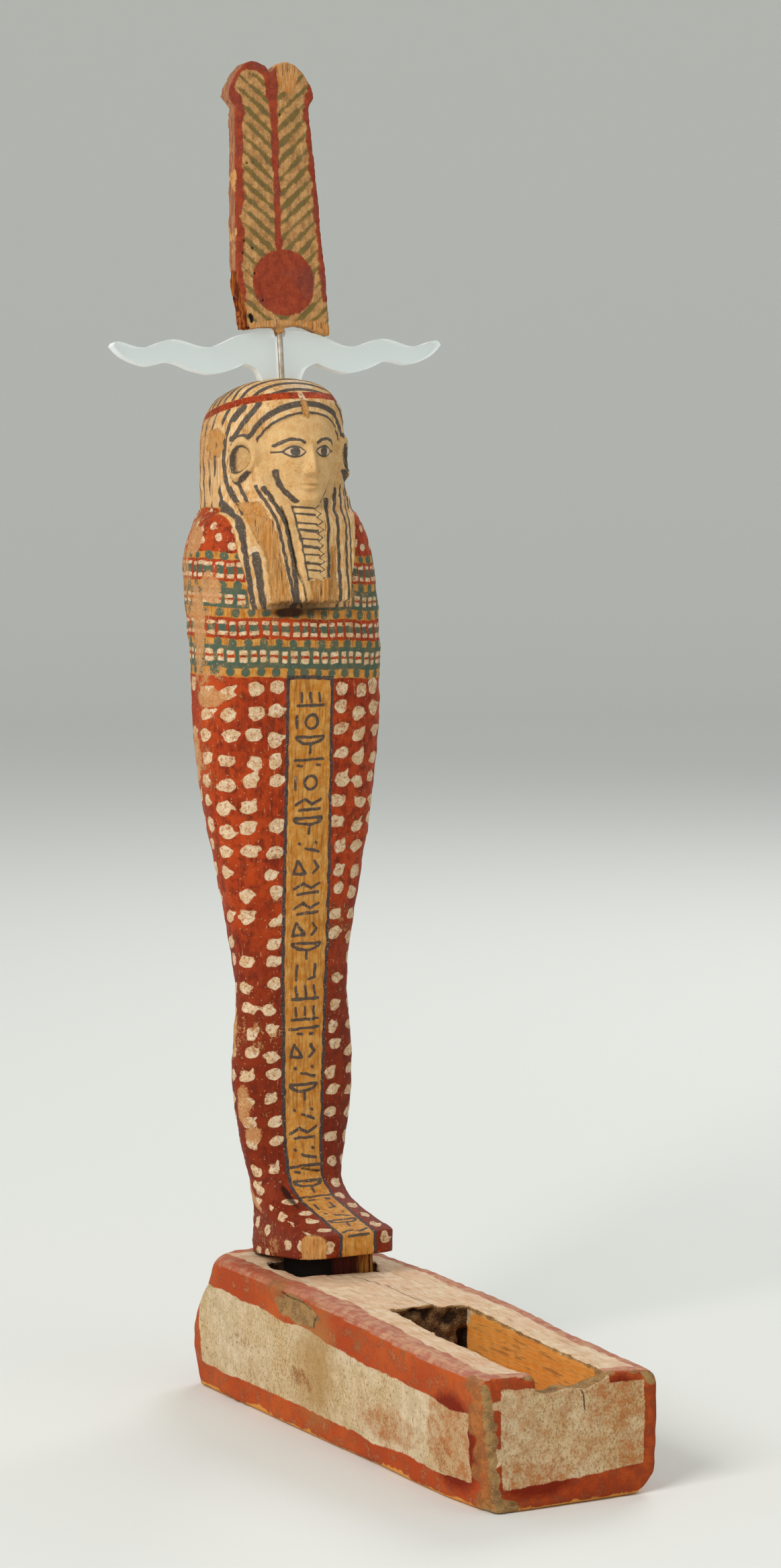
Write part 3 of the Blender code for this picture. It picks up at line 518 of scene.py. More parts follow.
# Soft forms of the face: relief, height as a share of the face and its half reach, distance from
# the middle and its half reach
FACE_FORMS = (
    (1.3, 0.375, 0.05, 3.2, 2.0), (1.5, 0.262, 0.04, 0.0, 7.6), (1.7, 0.205, 0.042, 0.0, 6.8),
    (-0.8, 0.234, 0.016, 0.0, 8.2), (-0.6, 0.15, 0.035, 0.0, 6.0), (1.5, 0.08, 0.1, 0.0, 9.0),
    (0.8, 0.40, 0.16, 10.0, 7.0), (-1.6, 0.60, 0.10, 7.8, 7.5),
)
EYE_LEVEL = 0.59
EYE_ACROSS = 8.0
EAR_Z = CHIN_Z + 0.51 * FACE_HEIGHT
EAR_Y = -14.5
ARCH_HALF, ARCH_Z, ARCH_RISE = 24.5, 396.0, 20.8


def face_forward(x, z):
    """Distance of a calm, even face in front of the figure's axis plane, or 0 beside it."""
    v = (z - CHIN_Z) / FACE_HEIGHT
    u = np.abs(x) / face_half(v)
    middle = through(((-0.06, 31.0), (0.0, 34.0), (0.1, 35.6), (0.18, 35.0), (0.3, 35.2),
                      (0.5, 35.0), (0.66, 35.2), (0.82, 33.8), (0.93, 31.6), (1.02, 29.4)), v)
    forward = FACE_EDGE + (middle - FACE_EDGE) * np.clip(1.0 - u**2.4, 0.0, 1.0) ** 0.62
    nose = through(((0.325, 0.0), (0.35, 2.4), (0.38, 4.3), (0.43, 4.5), (0.67, 0.5), (0.72, 0.0)), v)
    nose_half = through(((0.3, 3.0), (0.42, 2.7), (0.66, 1.9)), v)
    forward = forward + nose * np.exp(-(x / nose_half) ** 2)
    for relief, level, tall, across, wide in FACE_FORMS:
        forward = forward + relief * bump(v, level, tall) * bump(np.abs(x), across, wide)
    forward = forward + 0.8 * bump(v, 0.70 - 0.02 * u, 0.06) * bump(np.abs(x), 8.6, 9.0)
    lid = np.abs(v - EYE_LEVEL) * FACE_HEIGHT / np.maximum(eye_half(x), 0.2)
    forward = forward + 1.35 * (1.0 - smooth(0.75, 1.25, lid)) * bump(np.abs(x), EYE_ACROSS, 6.6)
    outside = (v < -0.06) | (v > 1.02) | (u >= 1.0)
    return np.where(outside, 0.0, forward)


def eye_half(x):
    """Half height of the painted eyes, pointed at both corners."""
    t = (np.abs(x) - EYE_ACROSS) / 5.0
    return 2.5 * np.clip(1.0 - t * t, 0.0, 1.0) ** 0.8


def ear_reach(y, z):
    """Place on an ear: 0 at its middle and 1 at its rim, narrower at the lobe."""
    narrow = 1.0 + 0.30 * smooth(EAR_Z, EAR_Z - 10.0, z)
    return np.hypot((z - EAR_Z) / 10.8, (y - EAR_Y + 0.12 * (z - EAR_Z)) / 6.2 * narrow)


def on_ear(x, z, angle):
    return (np.cos(angle) > 0) & (np.abs(x) > 19.0) & (z > 376.0)


def ellipse_depth(w, h, half, rise):
    """Signed distance inside an ellipse round the origin."""
    reach = np.hypot(w / half, h / rise)
    slope = np.hypot(w / half**2, h / rise**2)
    return (1.0 - reach) * np.maximum(reach, 1e-3) / np.maximum(slope, 1e-4)


def open_depth(u, x, z):
    """Signed distance inside the face and throat that the wig leaves open."""
    w = np.abs(x) + smooth(372.0, 392.0, z) * (np.abs(u) - np.abs(x))
    left = through(((326.0, 5.0), (345.0, 9.5), (360.0, 12.6), (372.0, 15.2), (380.0, 18.6),
                    (388.0, 22.0), (396.0, ARCH_HALF)), z)
    right = through(((326.0, 8.4), (345.0, 8.2), (362.0, 8.2), (370.0, 11.0), (378.0, 16.5),
                     (388.0, 21.8), (396.0, ARCH_HALF)), z)
    beside = np.where(x < 0, left, right) - w
    arch = ellipse_depth(w, z - ARCH_Z, ARCH_HALF, ARCH_RISE)
    return np.where(z > ARCH_Z, arch, beside)


def hem_edge(z, side):
    """Edge of the painted wig on the chest: left and right differ as on the carving."""
    if side < 0:
        return through(((318.0, 29.6), (338.0, 31.2), (350.0, 34.2), (362.0, 35.0), (372.0, 37.0)), z)
    return through(((318.0, 24.2), (345.0, 25.6), (365.0, 27.5), (372.0, 33.0)), z)


def wig_depth(x, z, angle):
    """Signed distance inside the wig, with the face and throat as part of it."""
    hem = through(((0.0, 371.0), (math.radians(100), 371.5), (math.radians(180), 356.0)), np.abs(angle))
    front = overlap(x + hem_edge(z, -1), hem_edge(z, 1) - x, np.cos(angle) * 30.0)
    return union(z - hem, overlap(front, z - LEDGE_Z + 2.5))


def rows_between(first, last, spacing):
    """Places along the stations, so that rows lie about a spacing apart."""
    step = 0.002
    place = np.arange(first, last + step, step)
    front_y, front_z, back_y, back_z = (
        np.gradient(through([(i, s[k]) for i, s in enumerate(STATIONS)], place)) for k in (1, 2, 3, 4))
    length = np.cumsum(np.maximum(np.hypot(front_y, front_z), np.hypot(back_y, back_z)))
    count = max(int(length[-1] / spacing), 2)
    return np.interp(np.linspace(length[0], length[-1], count + 1), length, place)


def section_rows(places, angles):
    """Points of the plain carving at places along the stations and angles round them."""
    half, fy, fz, by, bz, ahead_power, back_power = (
        through([(i, s[k]) for i, s in enumerate(STATIONS)], places)[:, None] for k in range(7))
    side, ahead = np.sin(angles)[None, :], np.cos(angles)[None, :]
    power = 2.0 / np.where(ahead > 0, ahead_power, back_power)
    widest = 0.36
    x = half * np.sign(side) * np.abs(side) ** power
    bulge = np.abs(ahead) ** power
    share = np.where(ahead > 0, widest * (1.0 - bulge), widest + (1.0 - widest) * bulge)
    return x, fy + (by - fy) * share, fz + (bz - fz) * share


def carve(u, x, y, z, angle):
    """Relief of the chest, face, ears and wig on the plain carving."""
    front = (np.cos(angle) > 0) & (z > LEDGE_Z - 10.0)
    relief = np.where(front, chest_relief(x, z), 0.0)
    y = y - relief
    face = np.where(front, face_forward(x, z), 0.0)
    y = np.where(face > 0.0, np.minimum(y, -face), y)
    reach = ear_reach(y, z)
    ear = np.where(on_ear(x, z, angle), 1.0, 0.0)
    lift = 1.9 * bump(reach, 0.84, 0.34) - 1.5 * (1.0 - smooth(0.30, 0.66, reach))
    lift = lift + 0.9 * bump(z, EAR_Z - 8.0, 4.0) * (1.0 - smooth(0.8, 1.1, reach))
    x = x + np.sign(x) * 0.8 * ear * lift
    y = y - 0.6 * ear * lift
    hair = wig_depth(x, z, angle)
    hair = np.where(front, np.minimum(hair, -open_depth(u, x, z)), hair)
    edge = smooth(-0.6, 0.6, hair) * (1.0 - relief / (LAPPET_RELIEF + 1.0))
    edge = edge * (1.0 - smooth(424.0, 430.0, z)) * smooth(330.0, 345.0, z) * (1.0 - ear)
    edge = edge * np.where((face > 0) & (z < 400.0), 0.0, 1.0)
    return x + np.sin(angle) * edge, y - np.cos(angle) * edge, z


def along_ring(points):
    """Signed length round each ring from its front, positive to the figure's left."""
    step = np.linalg.norm(np.diff(points, axis=1), axis=2)
    return np.concatenate([np.zeros((len(points), 1)), np.cumsum(step, axis=1)], axis=1)


# Bands of the collar, each from its top in millimetres above the sole down to the next
COLLAR = (
    (351.0, "beads"), (347.4, "red"), (346.0, "dashes"), (344.6, "blocks"), (340.4, "dashes"),
    (338.6, "red"), (337.0, "beads"), (333.6, "green"), (330.6, "bars"), (329.2, "squares"),
    (327.7, "bars"), (326.3, "green"), (324.2, "beads"), (319.4, "red"), (317.6, "dashes"),
    (316.2, "blocks"), (312.6, "dashes"), (311.0, "red"), (309.2, "beads"), (305.6, "green"),
    (303.4, "bars"), (301.6, "squares"), (299.8, "bars"), (298.0, "green"), (295.2, "beads"),
    (290.6, "end"),
)
COLLAR_TILT = 0.05
BLOCK_PITCH = 5.2
BAR_PITCH = 5.4
BEAD_PITCH = 7.6
DOT_PITCH = (12.2, 11.3)
SHOULDER_PITCH = (9.2, 7.4)
BORDER = 1.8
STROKE = 1.55


def column_half(t):
    """Inner half width of the text column down the front."""
    return through(((-27.0, 8.4), (20.0, 8.6), (41.0, 8.6), (68.0, 9.5), (107.0, 10.3),
                    (163.0, 11.4), (288.0, 11.3)), t)


def column_middle(t):
    return through(((-27.0, 1.4), (0.0, 0.9), (41.0, -0.3), (107.0, 0.0), (288.0, 0.3)), t)


def text_mark(kind, tall, a, b):
    """One mark of plain strokes as lines of (across, drop) points, and its height."""
    turn = np.linspace(0, 2 * math.pi, 13)
    arc = np.linspace(0.15, math.pi - 0.15, 9)
    return (
        ([[(-0.8, 1.5), (0.8, 1.0)], [(a, 4.0), (a + 0.25, 4.4)], [(b, 4.0), (b + 0.2, 4.2)]], 6.5),
        ([[(a, 1.0), (a - 0.06, tall - 1.0)], [(b, 1.0), (b + 0.04, tall - 2.0), (b - 0.3, tall - 1.4)]],
         tall),
        ([[(0.1 + 0.34 * math.cos(t), 5.0 - 3.4 * math.sin(t)) for t in turn],
          [(-0.75, 2.0), (-0.72, 8.0)]], 10.0),
        ([[(-0.7, 4.5), (-0.2, 2.0), (0.2, 4.5), (0.7, 2.2)], [(-0.5, 7.2), (0.6, 6.8)]], 8.8),
        ([[(x, 1.2), (x + 0.05, 5.4)] for x in (-0.5, 0.0, 0.5)] + [[(-0.7, 7.2), (0.75, 7.4)]], 9.2),
        ([[(0.75 * math.cos(t), 1.4 + 3.2 * math.sin(t)) for t in arc],
          [(-0.75, 1.2), (0.75, 1.2)], [(0.05, 5.0), (0.05, 9.0)]], 10.0),
        ([[(-0.55, 1.5), (-0.1, 8.0), (-0.75, 8.0), (-0.55, 1.5)],
          [(0.35, 2.0), (0.6, 5.0), (0.3, 8.0)]], 9.6),
        ([[(-0.5, 2.6), (-0.45, 3.0)], [(0.45, 2.4), (0.5, 2.8)], [(-0.1, 5.2), (0.6, 7.4)]], 8.6),
    )[kind]


def text_strokes():
    """Rows of plain strokes that aren't letters, down the column, in millimetres."""
    rng = np.random.default_rng(12)
    strokes, height = [], 282.0
    while height > -16.0:
        kind = int(rng.integers(0, 8))
        tall, a, b = (float(rng.uniform(*span)) for span in ((7.0, 11.0), (-0.7, -0.35), (0.3, 0.7)))
        mark, tall = text_mark(kind, tall, a, b)
        strokes += [[(across * 10.0, height - drop) for across, drop in line] for line in mark]
        height -= tall + 1.2
    return strokes


def dab(across, up, key, row, seed):
    """Signed distance inside a brush dab with a small tail to the right."""
    long = 3.0 + 0.9 * chance(key, row, seed + 3)
    high = 2.5 + 0.8 * chance(key, row, seed + 8)
    turn = 0.5 + 1.5 * (chance(key, row, seed + 4) - 0.5)
    body = (1.0 - np.hypot(across / long, up / high)) * high
    reach = 1.8 + 2.6 * chance(key, row, seed + 5)
    end_x, end_y = reach * np.cos(turn), reach * np.sin(turn)
    t = np.clip(((across - 0.8) * end_x + (up - 0.4) * end_y) / reach**2, 0.0, 1.0)
    tail = 2.2 - 1.7 * t - np.hypot(across - 0.8 - t * end_x, up - 0.4 - t * end_y)
    return np.maximum(body, tail)


def body_dots(out, side, t, pitch, top, size, seed):
    """Signed distance inside rows of cream dabs on one or both sides of the front column."""
    pitch_u, pitch_t = pitch
    dots = AWAY
    for di in (-1, 0, 1):
        i = np.maximum(np.round(out / pitch_u) + di, 0)
        key = i * 2 + (side > 0)
        first = top - 5.5 - 3.0 * chance(key, 0, seed + 9)
        for dj in (-1, 0, 1):
            j = np.maximum(np.round((first - t) / pitch_t) + dj, 0)
            centre_u = i * pitch_u + (chance(key, j, seed + 1) - 0.5) * 3.4
            centre_t = first - j * pitch_t + (chance(key, j, seed + 2) - 0.5) * 3.6
            across = (out - centre_u) * side
            shape = dab(across / size, (t - centre_t) / size, key, j, seed) * size
            dots = union(dots, only(chance(key, j, seed + 6) > 0.06, shape))
    return dots


def body_paint(u, x, y, z, t, angle):
    """Signed distances of red, green, cream and black paint on the body, shoulders and feet."""
    level = z + COLLAR_TILT * (np.clip(x, -49.0, 49.0) + 49.0)
    level = level + 0.35 * np.sin(0.21 * u) * np.sin(0.05 * u)
    start, end = COLLAR[0][0], COLLAR[-1][0]
    red = union(end - level, level - start)
    green = cream = np.full(z.shape, AWAY)
    drift = 0.10 * np.sin(0.37 * u + 1.0) + 0.08 * np.sin(0.13 * u)
    block = 1.9 - np.abs(((u / BLOCK_PITCH + drift) % 1.0) - 0.5) * BLOCK_PITCH
    bar = 1.75 - np.abs(((u / BAR_PITCH - drift) % 1.0) - 0.5) * BAR_PITCH
    for row, ((high, kind), (low, _)) in enumerate(zip(COLLAR, COLLAR[1:])):
        inside = overlap(high - level, level - low)
        if kind == "red":
            red = union(red, inside + 0.1)
        elif kind == "green":
            green = union(green, inside + 0.15)
        elif kind == "dashes":
            red = union(red, inside + 0.4)
            cream = union(cream, overlap(inside + 0.2, block))
        elif kind == "blocks":
            red = union(red, inside + 0.2)
            green = union(green, overlap(inside + 0.2, block - 0.15))
        elif kind == "beads":
            place = u / BEAD_PITCH + 0.37 * row
            bead = np.abs((place % 1.0) - 0.5) * BEAD_PITCH
            size = 1.95 + 0.35 * chance(np.floor(place), row, 8)
            green = union(green, size - np.hypot(bead, level - 0.5 * (high + low)))
        else:
            green = union(green, overlap(inside + 0.5, -bar))
            if kind == "bars":
                cream = union(cream, overlap(inside + 0.25, bar))
            else:
                red = union(red, overlap(inside + 0.3, bar))

    half, middle = column_half(t), column_middle(t)
    beside = np.where(np.cos(angle) > 0, np.abs(u - middle) - half, 40.0)
    top = end - 0.6
    red = overlap(red, -overlap(-beside, top - level))
    sides = overlap(BORDER / 2 - np.abs(beside - BORDER / 2), top + 1.8 - level)
    lid = overlap(1.0 - np.abs(level - top - 0.9), BORDER - beside)
    near = (beside < 0.5) & (level < top)
    text = np.full(z.shape, AWAY)
    text[near] = STROKE / 2 - to_lines(u[near] - middle[near], t[near], text_strokes())
    black = union(sides, lid, overlap(text, 0.2 - beside))

    side = np.where(u > middle, 1.0, -1.0)
    on_foot_side = (np.abs(x) > 22.6) & (z < 30.0)
    out = np.where(on_foot_side, y + 75.0, np.abs(u - middle) - half - BORDER - 4.6)
    size = 0.94 + 0.22 * smooth(60.0, 250.0, t)
    dots = body_dots(out, side, np.where(on_foot_side, z - 3.0, t), DOT_PITCH, end, size, 0)
    dots = dots + 0.5 * rough(np.stack([u, t, 0.0 * z], axis=-1), 2.4, 33)
    marks = body_dots(np.abs(u), side, level, SHOULDER_PITCH, 378.0, 0.62, 30)
    cream = union(cream, overlap(dots, beside - BORDER + 0.4, end - level + 0.5),
                  overlap(marks, level - start - 0.8))
    return red, green, cream, black


# Dark wig stripes beside the face: (distance round from the front, height) points, half width
SIDE_STRIPES = (
    (((22.0, 423.0), (28.5, 416.0), (33.5, 409.5), (36.5, 405.0)), 1.35),
    (((31.0, 421.0), (38.0, 413.5), (41.2, 405.0), (41.8, 395.0), (40.0, 384.0), (36.0, 376.0),
      (33.0, 369.0)), 1.5),
    (((41.0, 420.0), (47.0, 410.0), (49.5, 398.0), (48.6, 388.0), (46.0, 379.0), (42.0, 371.0)), 1.3),
    (((51.0, 418.0), (55.5, 405.0), (56.2, 390.0), (54.0, 378.0), (52.4, 368.0)), 1.2),
    (((60.5, 417.0), (63.0, 400.0), (62.6, 380.0), (62.0, 366.0)), 1.2),
    (((69.5, 416.0), (70.0, 395.0), (69.6, 360.0)), 1.15),
    (((77.0, 414.0), (77.6, 390.0), (76.8, 355.0)), 1.25),
    (((84.6, 413.0), (84.2, 390.0), (84.8, 352.0)), 1.1),
    (((92.0, 412.0), (91.6, 390.0), (92.2, 350.0)), 1.25),
    (((99.6, 412.0), (99.2, 390.0), (99.4, 350.0)), 1.15),
    (((107.2, 412.0), (107.0, 350.0)), 1.2),
    (((114.6, 412.0), (114.4, 350.0)), 1.1),
    (((34.5, 386.5), (31.6, 379.5), (28.6, 371.0)), 1.05),
)
# Dark stripes down the wig's ends on the chest: (across, height) points, half width
CHEST_STRIPES = (
    (((-34.6, 374.0), (-33.0, 365.0), (-30.3, 343.0), (-27.8, 321.5)), 1.3),
    (((-27.4, 349.5), (-25.3, 336.0), (-23.2, 321.5)), 1.25),
    (((-23.0, 382.0), (-17.6, 367.0), (-15.3, 355.0), (-11.3, 334.6), (-9.4, 322.0)), 0.85),
    (((-19.5, 381.0), (-16.0, 373.0), (-12.9, 363.5), (-9.6, 346.0), (-8.0, 322.0)), 1.3),
    (((11.6, 375.0), (9.2, 368.0), (8.9, 338.0)), 1.3),
    (((18.4, 380.0), (15.4, 370.0), (15.6, 322.0)), 1.05),
    (((23.4, 382.0), (20.4, 370.0), (20.6, 322.0)), 0.75),
    (((27.6, 382.0), (23.2, 368.0), (23.2, 322.0)), 0.5),
)
# Lines painted on the face: (across, height above the chin) points, half width
FACE_LINES = (
    (((12.6, EYE_LEVEL * FACE_HEIGHT), (16.4, EYE_LEVEL * FACE_HEIGHT - 0.4)), 0.5),
    (((3.4, 31.2), (6.0, 32.6), (9.5, 33.0), (13.0, 31.8), (16.0, 29.6)), 0.8),
    (((15.2, 17.5), (13.6, 11.5), (10.6, 6.5), (6.6, 2.6)), 0.95),
)


def stripes_of(rows, x, z):
    """Signed distance inside stripes, each with points and a half width."""
    return union(*(half - to_lines(x, z, [line]) for line, half in rows))


def head_paint(u, x, y, z, angle):
    """Signed distances of black, red, skin, cream and shade on the wig, face, ears and beard."""
    ahead = np.cos(angle) > 0
    face = ahead & (face_forward(x, z) > 0.0)
    opened = np.where(ahead, open_depth(u, x, z), -20.0)
    reach = ear_reach(y, z)
    ear = on_ear(x, z, angle)
    skin = union(opened, only(ear, (1.10 - reach) * 7.0))

    turn = np.arctan2(np.hypot(x, np.clip(z - 398.0, 0.0, None)), -(y - 6.0))
    over = 1.2 - np.abs(((turn * 38.0 / 6.0 + 0.15) % 1.0) - 0.5) * 6.0
    fillet = z - (420.6 - 0.216 * y)
    outside = -opened
    arch = union(overlap(0.6 - np.abs(outside - 0.9), z - 402.0),
                 overlap(1.45 - np.abs(outside - 5.2), z - 403.0))
    stripes = union(stripes_of(SIDE_STRIPES, np.abs(u), z), arch)
    stripes = union(overlap(stripes, -1.8 - fillet), overlap(over, fillet - 1.8))
    stripes = np.where(ahead, overlap(stripes, np.where(np.abs(u) < 34.0, z - 368.0, 6.0)), stripes)
    chest = only(ahead, overlap(stripes_of(CHEST_STRIPES, x, z), z - LEDGE_Z + 3.0))
    black = overlap(union(stripes, chest), np.where(z > 376.0, outside + 0.8, 6.0))
    black = np.where(ear & (reach < 1.12), AWAY, black)

    red = only(z > 405.0, 2.0 - np.abs(fillet))
    rim = union(0.5 - np.abs(reach - 1.08) * 7.0, 0.4 - np.abs(reach - 0.60) * 7.0)
    rim = overlap(rim, np.where(reach > 0.85, y - EAR_Y + 4.5, 6.0))

    ax, height = np.abs(x), z - CHIN_Z
    eye_z = EYE_LEVEL * FACE_HEIGHT
    lids = eye_half(x) - np.abs(height - eye_z)
    outline = overlap(0.5 - np.abs(lids), 5.4 - np.abs(ax - EYE_ACROSS))
    iris = 2.2 - np.hypot(ax - 7.8, height - eye_z)
    marks = union(outline, overlap(iris, lids), stripes_of(FACE_LINES, ax, height))
    black = union(black, only(ear, rim), only(face, marks))

    left = through(((324.0, -1.2), (372.0, -8.6)), z)
    right = through(((324.0, 7.6), (372.0, 6.4)), z)
    panel = only(ahead & (z < CHIN_Z + 3.0), overlap(x - left, right - x, z - 337.0))
    share = (x - left) / (right - left)
    rung = 0.6 - np.abs(((z + 1.4 * share + 0.4 * np.sin(0.9 * z)) % 3.9) - 1.95)
    braid = 0.5 - np.abs(x - right + 2.6 + 1.6 * (np.abs((z % 3.9) - 1.95) - 1.0))
    edges = 0.5 - np.minimum(np.abs(x - left), np.abs(x - right) + 0.4)
    ladder = union(overlap(rung, (0.72 - share) * 14.0), overlap(braid, (share - 0.6) * 14.0))
    beard = union(overlap(ladder, panel + 0.2), overlap(edges, panel + 1.0))
    black = union(black, only(ahead & (z < CHIN_Z + 1.0), beard))
    chips = union(blob(x, z, (-28.2, 351.0), (1.8, 2.6)), blob(x, z, (2.0, 431.0), (9.0, 2.6)),
                  blob(x, z, (-0.5, 425.0), (1.6, 3.4)))
    cream = union(only(face, overlap(lids, 5.0 - np.abs(ax - EYE_ACROSS))), only(ahead, chips))
    shade = only(ear, overlap((0.56 - reach) * 8.0, -1.2))
    return red, black, skin, cream, shade


def bare_wood(u, x, y, z, angle):
    """Signed distances of bare wood, of dark breaks and grime with a painted shadow under the ledge, and of
    painted shade under the ledge and along the front of the soles.
    """
    ahead = np.cos(angle) > 0
    points = np.stack([x, y, z], axis=-1)
    ragged = 1.1 * rough(points, 3.4, 51) + 0.8 * rough(points, 1.3, 52, stretch=(1.0, 1.0, 3.0))
    low_x = through(((322.0, -21.8), (340.0, -22.6), (350.0, -24.2), (356.0, -27.5), (362.0, -29.6),
                     (374.0, -31.0)), z)
    high_x = through(((322.0, -11.4), (338.0, -13.4), (350.0, -16.4), (362.0, -19.0), (374.0, -22.5)), z)
    lappet = overlap(x - low_x, high_x - x, 374.5 - z)
    beard = overlap(x + 2.0, 10.2 - x, 336.6 - z + 0.9 * np.sin(0.9 * x))
    strip = overlap(x - 11.0, 13.6 - x, 352.0 - z)
    toe = (((x + 23.5) / 8.2) ** 4 + ((y + 70.0) / 7.0) ** 4 + ((z - 11.0) / 9.0) ** 4) ** 0.25
    hanging = overlap(only(ahead, union(lappet, beard, strip)), z - LEDGE_Z + 0.5)
    bare = union(blob(u, z, (-50.0, 403.5), (8.5, 7.5)) + 1.4 * ragged, hanging + 0.3 * ragged,
                 only(ahead, blob(x, z, (-0.5, 419.5), (1.8, 4.4))), (1.0 - toe) * 6.0,
                 only(y > -60.0, 0.8 - z))
    wig_crack = [(-13.6, 372.0), (-10.6, 356.0), (-8.2, 343.0), (-5.4, 333.0), (-4.0, 323.0)]
    shin_crack = [(-2.0, 43.6), (2.0, 42.6), (6.7, 41.4)]
    # Two cracks, and under the ledge a dark hole with a painted shadow.
    cracks_and_ledge_shadow = union(0.42 - to_lines(x, z, [wig_crack]), 0.45 - to_lines(x, z, [shin_crack]),
                   blob(x, z, (-10.5, 320.6), (8.0, 2.3)))
    # Near black: the cracks, the hole and painted shadow under the ledge, a spot low on the figure's right,
    # and the lowest 2 mm.
    dirt = union(only(ahead, cracks_and_ledge_shadow), blob(u, z, (-14.0, 32.0), (1.7, 4.2)), 2.0 - z)
    # Painted shadow under the ledge and painted shade along the bottom 5 mm, at the front.
    shade = only(ahead, union(blob(x, z, (-6.0, 322.0), (17.0, 4.4)), 5.0 - z))
    return bare, dirt, shade


# Scuffed places on the body: (distance round, height), half sizes
SCUFFS = (
    ((-31.0, 77.0), (3.6, 10.0)), ((-26.0, 61.0), (4.0, 4.4)), ((-36.0, 32.0), (4.0, 8.0)),
    ((-52.0, 279.0), (8.0, 4.0)), ((-58.0, 316.0), (5.0, 18.0)), ((-49.0, 334.0), (5.0, 8.0)),
    ((-66.0, 250.0), (5.0, 14.0)), ((-40.0, 110.0), (2.6, 12.0)), ((-62.0, 356.0), (8.0, 6.0)),
    ((31.0, 60.0), (2.0, 3.0)), ((70.0, 200.0), (6.0, 16.0)), ((90.0, 300.0), (9.0, 12.0)),
)


# Station on the shins, below which the paint is laid along the front line instead of by height
SHIN = 6


def front_run(places):
    """Height on the shins, and below them the length down the front line, counted on."""
    keys = list(enumerate(STATIONS))
    track = np.linspace(0.0, SHIN, 400)
    step = np.hypot(*(np.diff(through([(i, s[k]) for i, s in keys], track)) for k in (1, 2)))
    length = STATIONS[SHIN][2] - np.concatenate([np.cumsum(step[::-1])[::-1], [0.0]])
    z = through([(i, s[2]) for i, s in keys], places)
    return np.where(places < SHIN, np.interp(places, track, length), z)


def round_angles():
    """Angles round the figure, closest at its front, and the number of those in front."""
    fronts = np.linspace(-1.0, 1.0, 141)
    front = np.arcsin(0.94 * fronts) * (0.55 + 0.45 * np.abs(fronts) ** 1.3)
    turn = 2 * math.pi - 2 * front[-1]
    return np.concatenate([front, front[-1] + turn * np.arange(1, 90) / 90]), len(fronts)


def make_figure_piece(name, first, last, spacing, mats):
    """The carving between two places along the stations, closed by a flat end."""
    angles, in_front = round_angles()
    places = rows_between(first, last, spacing)
    x, y, z = section_rows(places, angles)
    angle = np.broadcast_to(np.where(angles > math.pi, angles - 2 * math.pi, angles), x.shape)
    length = along_ring(np.stack([x, y, z], axis=-1))
    u = length - length[:, [in_front // 2]]
    girth = length[:, [-1]]
    u = np.where(u > 0.5 * girth, u - girth, u)
    weight = smooth(-0.1, 0.5, np.cos(angle))
    t = weight * front_run(places)[:, None] + (1.0 - weight) * z
    x, y, z = carve(u, x, y, z, angle)
    points = np.stack([x, y, z], axis=-1)
    hand = 0.22 * rough(points, 2.8, 31)
    red, green, cream, black = body_paint(u + hand, x, y, z + hand, t + hand, angle)
    wig_red, wig_black, skin, wig_cream, ear_shade = head_paint(u + hand, x + hand, y, z, angle)
    bare, dirt, shade = bare_wood(u, x, y, z, angle)
    wig = wig_depth(x, z, angle)
    off = -wig - 0.2
    out = np.stack([np.sin(angle), -np.cos(angle), np.zeros_like(angle)], axis=-1)
    dent = 0.24 * rough(points, 9.0, 4) + 0.12 * rough(points, 2.6, 5)
    torn = smooth(-0.5, 1.5, bare)
    dent = dent - torn * (0.7 + 0.45 * rough(points, 1.3, 6, stretch=(1, 1, 7)))
    dent = dent - 1.4 * smooth(-0.3, 0.6, dirt) * smooth(4.0, 6.0, z)
    calm = np.where(face_forward(x, z) > 0.0, 0.35, 1.0)
    points = points + out * (dent * calm)[..., None]
    wear = 0.25 + 0.35 * rough(points, 24.0, 9) + 0.5 * smooth(-40.0, -62.0, u)
    for place, half in SCUFFS:
        wear = wear + 1.1 * smooth(-1.5, 1.5, blob(u, z, place, half))
    faces = [tuple(f) for f in grid_faces(len(places), len(angles))]
    if first == 0.0:
        faces.append(tuple(range(len(angles) - 1, -1, -1)))
    else:
        top = (len(places) - 1) * len(angles)
        faces.append(tuple(range(top, top + len(angles))))
    world = points.reshape(-1, 3) + np.array([0.0, FIGURE_Y, FIGURE_Z])
    piece = mesh_from(name, world, faces, mats)
    keep_fields(piece, red=union(overlap(red, off), overlap(wig_red, wig)), green=overlap(green, off),
                cream=union(overlap(cream, off), overlap(wig_cream, wig)),
                black=union(overlap(black, off), overlap(wig_black, wig + 0.3)),
                skin=overlap(skin, wig), bare=bare, dirt=dirt, shade=union(shade, ear_shade),
                wear=wear, age=smooth(200.0, 110.0, z), wig=wig)
    return piece


